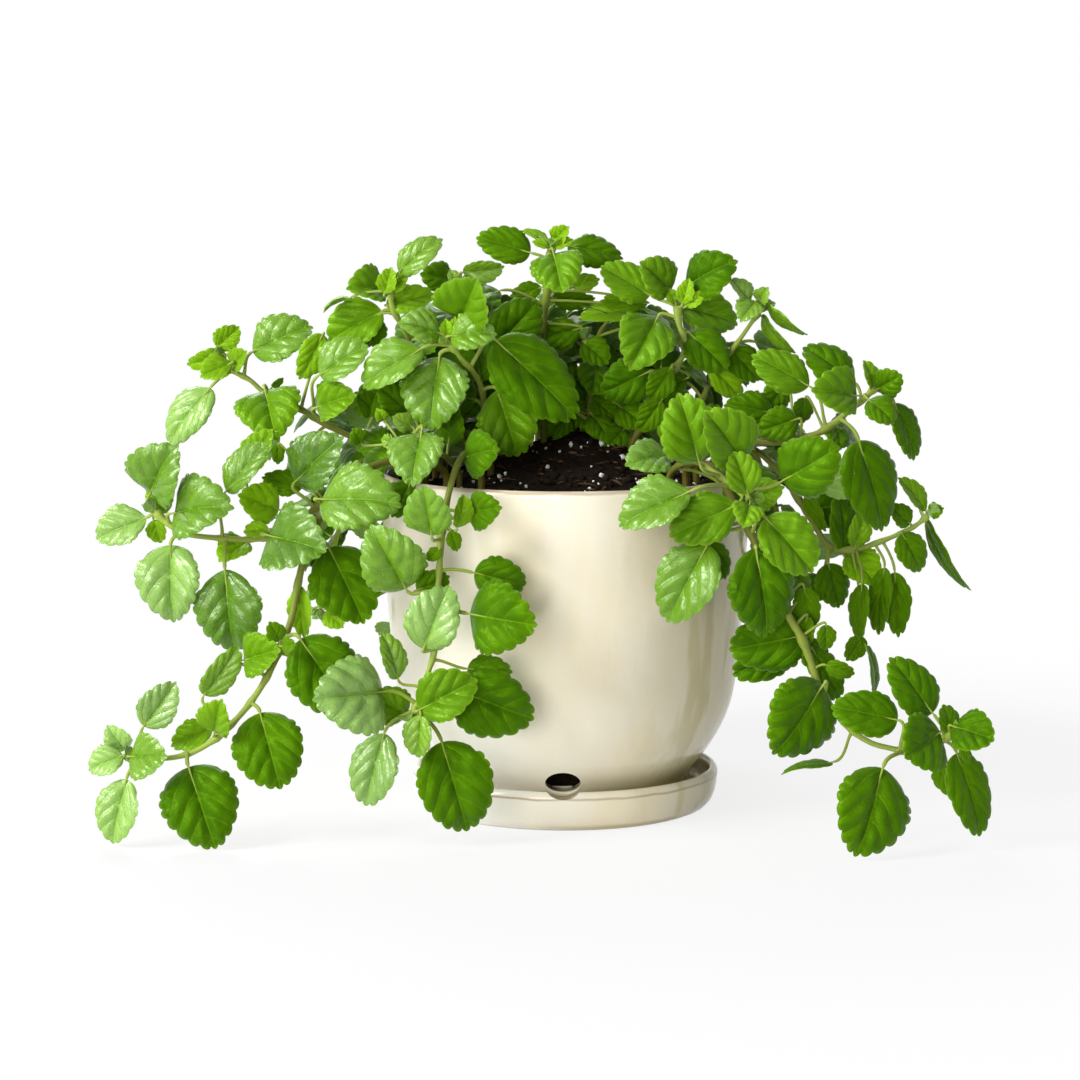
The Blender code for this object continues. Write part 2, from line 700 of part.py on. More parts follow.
def petiole_bmesh(blade, blade_bm, radius):
    """A straight stalk from inside the stem to just inside the blade's root."""
    near = sorted(blade_bm.verts, key=lambda vertex: (vertex.co - blade.base).length)
    root = (near[0].co + near[1].co) * 0.5
    shoulder = sum((vertex.co for vertex in near[2:6]), Vector()) * 0.25
    end = root + (shoulder - root).normalized() * PETIOLE_BITE
    run = end - blade.anchor
    turn = run.to_track_quat("Z", "Y").to_matrix().to_4x4()
    middle = Matrix.Translation((end + blade.anchor) * 0.5)
    bm = bmesh.new()
    bmesh.ops.create_cone(
        bm, cap_ends=True, segments=PETIOLE_SIDES, radius1=radius, radius2=radius,
        depth=run.length, matrix=middle @ turn,
    )
    bmesh.ops.triangulate(bm, faces=bm.faces)
    return bm


def leaf_meshes(blade, clearance, name):
    """Meshes of a leaf's blade and stalk, each thicker by the clearance all round."""
    blade_bm = blade_bmesh(blade, BLADE_THICKNESS + 2 * clearance)
    stalk_bm = petiole_bmesh(blade, blade_bm, PETIOLE_RADIUS + clearance)
    meshes = []
    for kind, bm in (("blade", blade_bm), ("petiole", stalk_bm)):
        mesh = bpy.data.meshes.new(name + "_" + kind)
        bm.to_mesh(mesh)
        bm.free()
        meshes.append(mesh)
    return meshes


def leaf_tree(blade, clearance):
    """A search tree of a leaf and its stalk, and the leaf's lowest height."""
    whole = bmesh.new()
    for mesh in leaf_meshes(blade, clearance, "trial"):
        whole.from_mesh(mesh)
        bpy.data.meshes.remove(mesh)
    low = min(vertex.co.z for vertex in whole.verts)
    tree = BVHTree.FromBMesh(whole)
    whole.free()
    return tree, low


def shifted(blade, layer, route):
    """A copy of a leaf moved by a layer along the line of depth."""
    step = Vector((0.0, layer, -LAYER_SLOPE * layer)) * MM
    base = blade.base + step
    moved = Leaf(base, blade.tip + step, blade.width, blade.face)
    moved.anchor = anchor_on(route, base)
    return moved


def settle(blade, grown, own, others):
    """Finds the first layer where a leaf is clear of its neighbours.

    A leaf may touch its own stem's leaves where nothing else fits, and it is
    left out where it would cut another stem.
    """
    fallback = None
    for layer in LAYERS:
        moved = shifted(blade, layer, grown.route)
        tree, low = leaf_tree(moved, BLADE_CLEARANCE)
        if low < FLOOR_CLEARANCE or any(tree.overlap(other) for other in others):
            continue
        if not any(tree.overlap(other) for other in own):
            return moved
        fallback = fallback or moved
    return fallback


def mesh_tree(mesh):
    """A search tree of a mesh's faces."""
    bm = bmesh.new()
    bm.from_mesh(mesh)
    tree = BVHTree.FromBMesh(bm)
    bm.free()
    return tree


def leaf_colour(number):
    """Each stem's own green, a little warmer or cooler than the next."""
    shift = 0.5 + 0.5 * math.sin(2.4 * number)
    return (0.055 + 0.06 * shift, 0.2 + 0.08 * shift, 0.012 + 0.01 * shift)


def build_stems(collection, tools, stems, solids):
    """Each stem with its leaves as one piece, clear of every other piece."""
    tubes = {}
    for grown in stems:
        tubes[grown.name] = tube_mesh(grown.name, grown.route, grown.radius)
    trees = {name: [mesh_tree(mesh)] for name, mesh in tubes.items()}
    for number, grown in enumerate(stems):
        finish = material(grown.name + "_green", leaf_colour(number), 0.4, 0.2)
        made = new_object(grown.name, tubes[grown.name], collection, finish)
        blades = bpy.data.collections.new(grown.name + "_leaves")
        tools.children.link(blades)
        others = list(solids)
        for name, found in trees.items():
            if name != grown.name:
                others += found
        for index, blade in enumerate(grown.leaves):
            placed = settle(blade, grown, trees[grown.name][1:], others)
            if placed is None:
                continue
            trees[grown.name].append(leaf_tree(placed, BLADE_CLEARANCE)[0])
            for mesh in leaf_meshes(placed, 0.0, f"{grown.name}_{index + 1}"):
                as_tool(new_object(mesh.name, mesh, blades))
        boolean(made, "UNION", blades)


def evaluated_tree(made):
    """A search tree of an object with its modifiers."""
    bpy.context.view_layer.update()
    mesh = bpy.data.meshes.new_from_object(made.evaluated_get(bpy.context.evaluated_depsgraph_get()))
    tree = mesh_tree(mesh)
    bpy.data.meshes.remove(mesh)
    return tree


def main():
    """Builds the pot, the soil and every stem."""
    for old in list(bpy.data.objects):
        bpy.data.objects.remove(old, do_unlink=True)
    scene_collection = bpy.context.scene.collection
    collection = bpy.data.collections.new("swedish_ivy")
    tools = bpy.data.collections.new("cutters")
    scene_collection.children.link(collection)
    scene_collection.children.link(tools)
    glaze = material("cream_glaze", (0.72, 0.66, 0.53), 0.22, 0.5)
    earth = material("potting_soil", (0.018, 0.011, 0.007), 0.95)
    stems = front_stems() + back_stems()
    for grown in stems:
        seat_foot(grown)
    pot = build_pot(collection, tools, glaze)
    soil = build_soil(collection, tools, earth, stems)
    solids = [evaluated_tree(pot), evaluated_tree(soil)]
    build_stems(collection, tools, stems, solids)


main()
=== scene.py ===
"""Looks of a Swedish ivy in a glazed pot with its own saucer.

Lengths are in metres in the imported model's frame: +Z up, +X to the right, -Y to
the front, with the origin at the middle of the saucer's underside.
"""

import logging
import math
import random
from dataclasses import dataclass
from dataclasses import field
from dataclasses import replace
from enum import Enum
from typing import Any
from typing import Iterable
from typing import Iterator
from typing import Optional
from typing import Sequence
from typing import Union

import bmesh
import bpy
import numpy as np
from mathutils import Matrix
from mathutils import Vector
from mathutils import noise
from mathutils.kdtree import KDTree


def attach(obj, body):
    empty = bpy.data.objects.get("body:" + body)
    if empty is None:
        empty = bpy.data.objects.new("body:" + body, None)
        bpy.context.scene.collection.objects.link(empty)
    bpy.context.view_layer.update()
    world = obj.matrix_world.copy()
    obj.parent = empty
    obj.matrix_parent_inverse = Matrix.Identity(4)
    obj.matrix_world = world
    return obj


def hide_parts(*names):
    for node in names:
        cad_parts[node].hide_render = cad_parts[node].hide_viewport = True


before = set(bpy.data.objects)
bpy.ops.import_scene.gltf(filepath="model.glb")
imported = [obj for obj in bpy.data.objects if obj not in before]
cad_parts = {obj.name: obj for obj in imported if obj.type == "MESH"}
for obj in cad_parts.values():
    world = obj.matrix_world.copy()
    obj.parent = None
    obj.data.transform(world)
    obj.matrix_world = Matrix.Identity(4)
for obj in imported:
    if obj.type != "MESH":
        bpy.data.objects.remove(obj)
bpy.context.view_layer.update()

MM = 0.001
BODY = "root"
BLADE_UV = "blade"
TONE = "tone"
TUBE_SIDE = (0.31, 0.95, 0.07)
WHITE = (1.0, 1.0, 1.0)

logger = logging.getLogger("potted_ivy")

Colour = tuple[float, float, float]
Row = tuple[float, ...]
Faces = list[Sequence[int]]
Mesh = bpy.types.Mesh
Material = bpy.types.Material
Socket = bpy.types.NodeSocket
Value = Union[float, Socket]


class Slot(Enum):
    """The record's material slots."""

    GLAZE = "glaze"
    SOIL = "soil"
    FOLIAGE = "foliage"


class Shade(Enum):
    """How light or dark a leaf is: its tone, its freshness and how far it turns to the light, partly the
    leaf's own colour and partly painted light and shade.
    """

    DARK = "d"
    MIDDLE = "m"
    LIGHT = "l"
    YELLOW = "y"
    GLOSSY = "g"
    FRESH = "f"
    PAINTED_LIGHT = "p"


class Skin(Enum):
    """The finish that a face of the foliage takes, as its material index; besides the plain blade and the
    wood, these are copies with painted light or shade.
    """

    BLADE = 0
    # A darker copy of the blade finish for leaves in shade: painted shade.
    SHADED = 1
    # A lighter, glossier copy for sunlit leaves: painted light.
    SUNLIT = 2
    # Yellow-green young leaves with the glow of backlight painted into their colour.
    THIN = 3
    # A whitish copy for the most brightly lit leaves: painted light.
    PAINTED_LIGHT = 4
    WOOD = 5


@dataclass(frozen=True)
class Look:
    """How a shade of leaf looks: the range of its tone, its freshness, its finish and its turn."""

    low: float
    high: float
    freshness: float
    skin: Skin
    turn: Colour = (0.0, 0.0, 0.0)


# Dark leaves take the darker shaded finish, painted shade; light and glossy ones the lighter sunlit finish,
# painted light; yellow ones a painted glow of backlight; the palest ones a whitish painted light.
LOOKS = {
    Shade.DARK: Look(0.0, 0.2, 0.15, Skin.SHADED, (0.26, 0.0, -0.16)),
    Shade.MIDDLE: Look(0.35, 0.62, 0.5, Skin.BLADE),
    Shade.LIGHT: Look(0.40, 0.80, 0.6, Skin.SUNLIT, (-0.26, 0.0, 0.10)),
    Shade.YELLOW: Look(0.8, 1.0, 2.0, Skin.THIN),
    Shade.GLOSSY: Look(0.05, 0.35, 0.2, Skin.SUNLIT),
    Shade.FRESH: Look(0.62, 0.88, 0.6, Skin.BLADE),
    Shade.PAINTED_LIGHT: Look(0.30, 0.70, 0.6, Skin.PAINTED_LIGHT),
}


# ----------------------------------------------- node graphs


class Graph:
    """Adds nodes to the tree of a material or of a node group."""

    def __init__(self, tree: bpy.types.NodeTree) -> None:
        """Keeps the tree that the nodes go into.

        Args:
            tree: A material's or a group's node tree.
        """
        self.tree = tree

    def feed(self, target: Socket, value: Any) -> None:
        """Links a socket to an input, or sets the input's own value.

        Args:
            target: The input.
            value: A socket, a number, a colour or a vector.
        """
        if isinstance(value, Socket):
            self.tree.links.new(value, target)
        elif isinstance(value, tuple) and target.type == "RGBA":
            target.default_value = (*value, 1.0)
        else:
            target.default_value = value

    def add(self, kind: str, inputs: dict[Any, Any], **settings: Any) -> Any:
        """Adds one node.

        Args:
            kind: The node's type name without its ShaderNode prefix.
            inputs: What its inputs get, by their names or numbers.
            settings: Attributes that are set on the node.

        Returns:
            The node's outputs.
        """
        made = self.tree.nodes.new("ShaderNode" + kind)
        for name, value in settings.items():
            setattr(made, name, value)
        for name, value in inputs.items():
            self.feed(made.inputs[name], value)
        return made.outputs

    def math(self, operation: str, *values: Value) -> Socket:
        """Works out a value from others."""
        return self.add("Math", dict(enumerate(values)), operation=operation)[0]

    def plus(self, first: Value, second: Value) -> Socket:
        """Adds two values."""
        return self.math("ADD", first, second)

    def minus(self, first: Value, second: Value) -> Socket:
        """Takes the second value from the first."""
        return self.math("SUBTRACT", first, second)

    def times(self, product: Value, *others: Value) -> Value:
        """Multiplies values in their order.

        Args:
            product: The first value.
            others: The values that it is multiplied by.

        Returns:
            The product.
        """
        for other in others:
            product = self.math("MULTIPLY", product, other)
        return product

    def reach(self, across: Value, deep: Value) -> Socket:
        """Returns the distance from the upright axis."""
        return self.math("SQRT", self.plus(self.times(across, across), self.times(deep, deep)))

    def fade(self, value: Value, start: float, end: float, low: float = 0.0, high: float = 1.0) -> Socket:
        """Turns a value smoothly from low at start to high at end."""
        inputs = dict(enumerate((value, start, end, low, high)))
        return self.add("MapRange", inputs, interpolation_type="SMOOTHSTEP")[0]

    def mix(self, share: Value, first: Any, second: Any) -> Socket:
        """Mixes two colours."""
        return self.add("Mix", {0: share, 6: first, 7: second}, data_type="RGBA")[2]

    def coats(self, tone: Value, *coats: tuple[Any, ...]) -> Value:
        """Lays coats of colour over a tone, one after the other.

        Args:
            tone: The tone underneath.
            coats: Each coat's colour, and the masks whose product is its strength.

        Returns:
            The finished tone.
        """
        for colour, *masks in coats:
            tone = self.mix(self.times(*masks), tone, colour)
        return tone

    def vector(self, operation: str, first: Any, second: Any) -> Socket:
        """Works out a vector from two others."""
        return self.add("VectorMath", {0: first, 1: second}, operation=operation)[0]

    def noise(self, vector: Socket, scale: float, detail: float = 2.0, roughness: float = 0.5) -> Socket:
        """Returns the value of a noise texture."""
        inputs = {"Vector": vector, "Scale": scale, "Detail": detail, "Roughness": roughness}
        return self.add("TexNoise", inputs)[0]

    def cell_edges(self, vector: Socket, scale: float) -> Socket:
        """Returns the distance to the nearest edge between irregular cells."""
        inputs = {"Vector": vector, "Scale": scale}
        return self.add("TexVoronoi", inputs, feature="DISTANCE_TO_EDGE")["Distance"]

    def parts(self, vector: Socket) -> list[Socket]:
        """Splits a vector into its X, Y and Z."""
        return list(self.add("SeparateXYZ", {0: vector}))

    def place(self) -> Socket:
        """Returns the position on the object, in metres."""
        return self.add("TexCoord", {})["Object"]

    def tone(self) -> list[Socket]:
        """Returns the channels of the tone attribute and its alpha."""
        source = self.add("Attribute", {}, attribute_type="GEOMETRY", attribute_name=TONE)
        return [*self.add("SeparateColor", {0: source["Color"]}), source["Alpha"]]

    def bump(self, height: Value, strength: float, distance: float) -> Socket:
        """Returns a normal that follows the height."""
        return self.add("Bump", {"Height": height, "Strength": strength, "Distance": distance})[0]


class Finish:
    """A Principled material with its node graph."""

    def __init__(self, name: str) -> None:
        """Makes the material.

        Args:
            name: The material's name.
        """
        self.material = bpy.data.materials.new(name)
        self.material.use_nodes = True
        self.graph = Graph(self.material.node_tree)
        self.shader = self.material.node_tree.nodes["Principled BSDF"]

    def set(self, **values: Any) -> None:
        """Sets or links the shader's inputs, with _ for the spaces in their names."""
        for name, value in values.items():
            self.graph.feed(self.shader.inputs[name.replace("_", " ")], value)


class NodeGroup:
    """A shader node group with named inputs and outputs."""

    def __init__(
        self, name: str, inputs: Sequence[tuple[str, str]], outputs: Sequence[tuple[str, str]]
    ) -> None:
        """Makes an empty group.

        Args:
            name: The group's name.
            inputs: Name and socket type of each input.
            outputs: Name and socket type of each output.
        """
        self.tree = bpy.data.node_groups.new(name, "ShaderNodeTree")
        for way, sockets in (("INPUT", inputs), ("OUTPUT", outputs)):
            for label, kind in sockets:
                self.tree.interface.new_socket(name=label, in_out=way, socket_type="NodeSocket" + kind)
        self.graph = Graph(self.tree)
        self.entry = self.tree.nodes.new("NodeGroupInput").outputs
        self.result = self.tree.nodes.new("NodeGroupOutput")

    def put(self, **values: Socket) -> None:
        """Links the group's outputs."""
        for name, value in values.items():
            self.graph.feed(self.result.inputs[name], value)

    def use(self, graph: Graph, **values: Any) -> Any:
        """Places the group in a graph, feeds its inputs and returns its outputs."""
        return graph.add("Group", values, node_tree=self.tree)


def mottle_group() -> NodeGroup:
    """Builds the uneven cloud that the glaze, the soil, the blades and the wood share.

    Returns:
        The node group.
    """
    group = NodeGroup(
        "mottle", (("Place", "Vector"), ("Size", "Float")), (("Cloud", "Float"), ("Speck", "Float"))
    )
    graph = group.graph
    scaled = {0: group.entry["Place"], "Scale": group.entry["Size"]}
    spread = graph.add("VectorMath", scaled, operation="SCALE")[0]
    cloud = graph.noise(spread, scale=1.0, detail=4.0, roughness=0.55)
    speck = graph.noise(spread, scale=9.0, detail=2.0, roughness=0.6)
    group.put(Cloud=graph.fade(cloud, 0.32, 0.68), Speck=graph.fade(speck, 0.56, 0.72))
    return group


@dataclass(frozen=True)
class Veins:
    """Where the veins of a blade run, and how far each stands out.

    Places are shares of the blade's length along it and of half its width across.
    """

    first: float = 0.02
    gap: float = 0.285
    lean: float = 0.28
    arch: float = 0.36
    wander: float = 0.30
    midrib: float = 0.075
    midrib_taper: float = 0.05
    side_strength: float = 0.50
    net_scale: float = 17.0
    net_stretch: Colour = (1.0, 0.55, 1.0)
    pillow_height: float = 0.25
    vein_depth: float = 0.45
    net_depth: float = 0.12


VEINS = Veins()


def blade_group() -> NodeGroup:
    """Builds the pattern of a blade: its veins, the net between them and the relief.

    Returns:
        The node group.
    """
    group = NodeGroup(
        "blade_veins",
        (("Blade", "Vector"), ("Chance", "Float")),
        (("Vein", "Float"), ("Net", "Float"), ("Relief", "Float")),
    )
    graph = group.graph
    blade, chance = group.entry["Blade"], group.entry["Chance"]
    along, side, _ = graph.parts(blade)
    across = graph.math("ABSOLUTE", graph.minus(graph.times(side, 2.0), 1.0))
    wander = graph.minus(graph.noise(graph.vector("ADD", blade, chance), 4.0), 0.5)
    half = graph.minus(VEINS.midrib, graph.times(along, VEINS.midrib_taper))
    midrib = graph.fade(graph.math("DIVIDE", across, half), 1.0, 0.2)
    lean = graph.plus(graph.times(across, VEINS.lean), graph.times(across, across, VEINS.arch))
    row = graph.math("DIVIDE", graph.minus(graph.minus(along, lean), VEINS.first), VEINS.gap)
    gap = graph.math("PINGPONG", graph.plus(row, graph.times(wander, VEINS.wander)), 0.5)
    inside = graph.minus(1.0, graph.fade(across, 0.80, 1.0))
    side_vein = graph.times(graph.fade(gap, 0.095, 0.01), inside)
    vein = graph.math("MAXIMUM", midrib, graph.times(side_vein, VEINS.side_strength))
    cells = graph.vector("ADD", graph.vector("MULTIPLY", blade, VEINS.net_stretch), chance)
    net = graph.fade(graph.cell_edges(cells, VEINS.net_scale), 0.07, 0.0)
    pillow = graph.times(graph.math("SINE", graph.times(gap, math.pi)), VEINS.pillow_height)
    relief = graph.minus(pillow, graph.times(vein, VEINS.vein_depth))
    group.put(Vein=vein, Net=net, Relief=graph.minus(relief, graph.times(net, VEINS.net_depth)))
    return group


@dataclass(frozen=True)
class BladeFinish:
    """Glossy, quilted leaf skin, paler and matt underneath."""

    name: str = "ivy_blade"
    deep: Colour = (0.030, 0.098, 0.001)
    full: Colour = (0.128, 0.290, 0.003)
    young: Colour = (0.290, 0.520, 0.010)
    net: Colour = (0.045, 0.120, 0.003)
    vein: Colour = (0.270, 0.450, 0.030)
    under: Colour = (0.200, 0.330, 0.080)
    under_vein: Colour = (0.400, 0.520, 0.220)
    shine: Colour = (0.54, 1.0, 0.14)
    gloss: float = 0.31
    under_gloss: float = 0.30
    specular: float = 0.42
    glow: float = 0.30
    glow_depth: float = 0.6 * MM

    def make(self, mottle: NodeGroup, veins: NodeGroup) -> Material:
        """Makes the material.

        Args:
            mottle: The shared uneven cloud.
            veins: The pattern of a blade.

        Returns:
            The finished material.
        """
        finish = Finish(self.name)
        graph = finish.graph
        chance, below, youth, share = graph.tone()
        place = graph.add("UVMap", {}, uv_map=BLADE_UV)[0]
        pattern = veins.use(graph, Blade=place, Chance=chance)
        cloud = mottle.use(graph, Place=graph.place(), Size=70.0)
        tone = graph.coats(
            graph.mix(chance, self.deep, self.full),
            (self.young, youth),
            (self.full, cloud["Cloud"], 0.30),
            (self.net, pattern["Net"], 0.16),
            (self.vein, pattern["Vein"], 0.30),
            (self.vein, graph.fade(share, 0.90, 1.0), 0.30),
            (self.under, below, 0.8),
            (self.under_vein, below, pattern["Vein"], 0.6),
        )
        fine = graph.noise(graph.place(), 2600.0)
        rough = graph.plus(graph.times(cloud["Speck"], 0.06), self.gloss)
        relief = graph.plus(pattern["Relief"], graph.times(fine, 0.05))
        finish.set(
            Base_Color=tone, Roughness=graph.plus(rough, graph.times(below, self.under_gloss)),
            Specular_IOR_Level=self.specular, Specular_Tint=self.shine, Subsurface_Weight=self.glow,
            Subsurface_Radius=(1.0, 1.3, 0.25), Subsurface_Scale=self.glow_depth,
            Normal=graph.bump(relief, 0.50, 0.9 * MM),
        )
        return finish.material


# Besides the plain blade finish, these are copies with painted light and shade: a darker one for leaves in
# shade, a lighter and glossier one for sunlit leaves, a yellow-green one for young leaves with the glow of
# backlight painted in, and a whitish one for the most brightly lit leaves.
BLADE_FINISHES = {
    Skin.BLADE: BladeFinish(),
    # Painted shade: a darker copy for leaves in shade.
    Skin.SHADED: BladeFinish(
        "ivy_blade_shaded", deep=(0.026, 0.088, 0.001), full=(0.112, 0.262, 0.002),
        vein=(0.170, 0.330, 0.010), shine=(0.45, 1.0, 0.03), gloss=0.36, specular=0.30, glow=0.15,
    ),
    # Painted light: a lighter copy for sunlit leaves, with darker veins and more gloss.
    Skin.SUNLIT: BladeFinish(
        "ivy_blade_sunlit", full=(0.155, 0.330, 0.008), young=(0.280, 0.490, 0.025),
        vein=(0.120, 0.280, 0.010), shine=(0.90, 1.0, 0.74), gloss=0.26, specular=0.62,
    ),
    # Young yellow-green leaves with a painted glow of backlight.
    Skin.THIN: BladeFinish(
        "ivy_blade_painted_backlight", full=(0.200, 0.430, 0.005), young=(0.270, 0.510, 0.008),
        shine=(0.50, 1.0, 0.10), gloss=0.42, specular=0.25, glow=0.32,
    ),
    # Painted light: a whitish copy for the most brightly lit leaves.
    Skin.PAINTED_LIGHT: BladeFinish(
        "ivy_blade_painted_light", full=(0.320, 0.550, 0.105), young=(0.410, 0.650, 0.160),
        vein=(0.120, 0.280, 0.010), under=(0.300, 0.450, 0.150), shine=(0.95, 1.0, 0.84), gloss=0.24,
        specular=0.75,
    ),
}


@dataclass(frozen=True)
class WoodFinish:
    """Soft, slightly downy skin of the stems and petioles, brown low down."""

    old: Colour = (0.085, 0.085, 0.008)
    green: Colour = (0.270, 0.370, 0.045)
    pale: Colour = (0.370, 0.470, 0.130)
    blush: Colour = (0.150, 0.085, 0.020)
    old_blush: float = 0.55
    green_blush: float = 0.10

    def make(self, mottle: NodeGroup) -> Material:
        """Makes the material.

        Args:
            mottle: The shared uneven cloud.

        Returns:
            The finished material.
        """
        finish = Finish("ivy_stem")
        graph = finish.graph
        chance, fresh, _, _ = graph.tone()
        cloud = mottle.use(graph, Place=graph.place(), Size=160.0)["Cloud"]
        fewer = graph.times(fresh, self.old_blush - self.green_blush)
        tone = graph.coats(
            graph.mix(fresh, self.old, self.green),
            (self.blush, cloud, graph.minus(self.old_blush, fewer)),
            (self.pale, chance, fresh, 0.45),
        )
        down = graph.noise(graph.place(), 3200.0)
        finish.set(
            Base_Color=tone, Roughness=graph.plus(graph.times(down, 0.15), 0.45), Specular_IOR_Level=0.25,
            Specular_Tint=(0.8, 1.0, 0.5), Normal=graph.bump(down, 0.35, 0.3 * MM),
        )
        return finish.material


@dataclass(frozen=True)
class GlazeFinish:
    """Cream glaze that thins to brown along the edges, with painted shade and painted reflections in olive on
    its right side and low down by the saucer, and painted light at its lower left.

    A line is a thin edge around the pot, as its height and half its width.
    """

    cream: Colour = (0.760, 0.672, 0.478)
    pale: Colour = (0.790, 0.738, 0.605)
    painted_light_cream: Colour = (0.930, 0.900, 0.830)
    painted_shade_olive: Colour = (0.420, 0.350, 0.110)
    thin: Colour = (0.330, 0.195, 0.100)
    body: Colour = (0.640, 0.540, 0.420)
    rim: Row = (153.2 * MM, 1.3 * MM)
    lip: Row = (15.2 * MM, 0.9 * MM)
    foot: Row = (1.4 * MM, 1.2 * MM)
    line_waver: float = 1.6 * MM
    saucer: Row = (66 * MM, 68 * MM)
    broad_stretch: Colour = (1.0, 1.0, 0.45)
    painted_reflection_stretch: Colour = (1.0, 1.0, 0.16)

    def make(self, mottle: NodeGroup) -> Material:
        """Makes the material.

        Args:
            mottle: The shared uneven cloud.

        Returns:
            The finished material.
        """
        finish = Finish("cream_glaze")
        graph = finish.graph
        place = graph.place()
        across, deep, height = graph.parts(place)
        drawn = graph.vector("MULTIPLY", place, self.broad_stretch)
        broad = mottle.use(graph, Place=drawn, Size=24.0)
        small = mottle.use(graph, Place=place, Size=120.0)
        # Olive streaks on the right side: a painted reflection of the surroundings in the glaze.
        streaks = graph.noise(graph.vector("MULTIPLY", place, self.painted_reflection_stretch), 60.0, 3.0)
        painted_reflection = graph.fade(streaks, 0.46, 0.58)
        # The right side is painted darker and more olive: painted shade.
        side = graph.fade(across, 20 * MM, 80 * MM)
        waver = graph.times(graph.minus(graph.noise(place, 60.0, 3.0), 0.5), self.line_waver)
        level = graph.plus(height, waver)
        rim, lip, foot = [self.line(graph, level, *entry) for entry in (self.rim, self.lip, self.foot)]
        outside = graph.fade(graph.reach(across, deep), *self.saucer)
        edges = graph.math("MAXIMUM", rim, graph.times(graph.math("MAXIMUM", lip, foot), outside))
        # Painted shade: olive darkening low down where the pot meets the saucer, stronger towards the right.
        painted_crease_shade = graph.times(graph.fade(height, 34 * MM, 9 * MM), graph.minus(1.0, outside))
        # Painted light: the pot's lower left is painted paler.
        painted_light_low_left = graph.times(
            graph.fade(height, 110 * MM, 30 * MM), graph.fade(across, 20 * MM, -45 * MM)
        )
        bare = graph.fade(height, 0.5 * MM, 0.2 * MM)
        tone = graph.coats(
            graph.mix(broad["Cloud"], self.cream, self.pale),
            # The olive coats are painted reflection and painted shade; the pale coat at the lower left is
            # painted light.
            (self.painted_shade_olive, painted_reflection, side, 0.68),
            (self.painted_shade_olive, side, 0.38),
            (self.thin, edges, 0.55),
            (self.painted_shade_olive, painted_crease_shade, graph.fade(across, -50 * MM, 30 * MM, 0.0, 0.66)),
            (self.painted_light_cream, painted_light_low_left, graph.fade(edges, 0.9, 0.1)),
            (self.thin, small["Speck"], 0.05),
            (self.body, bare),
        )
        rough = graph.plus(graph.times(small["Cloud"], 0.05), 0.13)
        wave = graph.plus(broad["Cloud"], graph.times(small["Cloud"], 0.15))
        finish.set(
            Base_Color=tone, Roughness=graph.plus(rough, graph.times(bare, 0.6)), Specular_IOR_Level=0.38,
            Specular_Tint=(1.0, 0.90, 0.66), Coat_Weight=0.06, Coat_Roughness=0.08,
            Normal=graph.bump(wave, 0.25, 1.2 * MM),
        )
        return finish.material

    @staticmethod
    def line(graph: Graph, level: Socket, height: float, half: float) -> Socket:
        """Makes a soft line around the pot.

        Args:
            graph: The material's graph.
            level: The height, a little wavy.
            height: The line's middle, in metres.
            half: Half the line's width, in metres.

        Returns:
            A mask that is 1 in the middle of the line.
        """
        return graph.fade(graph.math("ABSOLUTE", graph.minus(level, height)), half, 0.1 * half)


@dataclass(frozen=True)
class GrainFinish:
    """Rough crumbs in two mixed colours."""

    name: str
    dark: Colour
    light: Colour
    size: float
    rough: float = 0.75

    def make(self, mottle: NodeGroup) -> Material:
        """Makes the material.

        Args:
            mottle: The shared uneven cloud.

        Returns:
            The finished material.
        """
        finish = Finish(self.name)
        graph = finish.graph
        cloud = mottle.use(graph, Place=graph.place(), Size=self.size)["Cloud"]
        share = graph.times(graph.plus(cloud, graph.tone()[0]), 0.5)
        fine = graph.noise(graph.place(), 1500.0, 3.0, 0.6)
        finish.set(
            Base_Color=graph.mix(share, self.dark, self.light),
            Roughness=graph.plus(graph.times(fine, 0.2), self.rough), Specular_IOR_Level=0.06,
            Normal=graph.bump(fine, 0.7, 0.6 * MM),
        )
        return finish.material


# ----------------------------------------------- mesh making


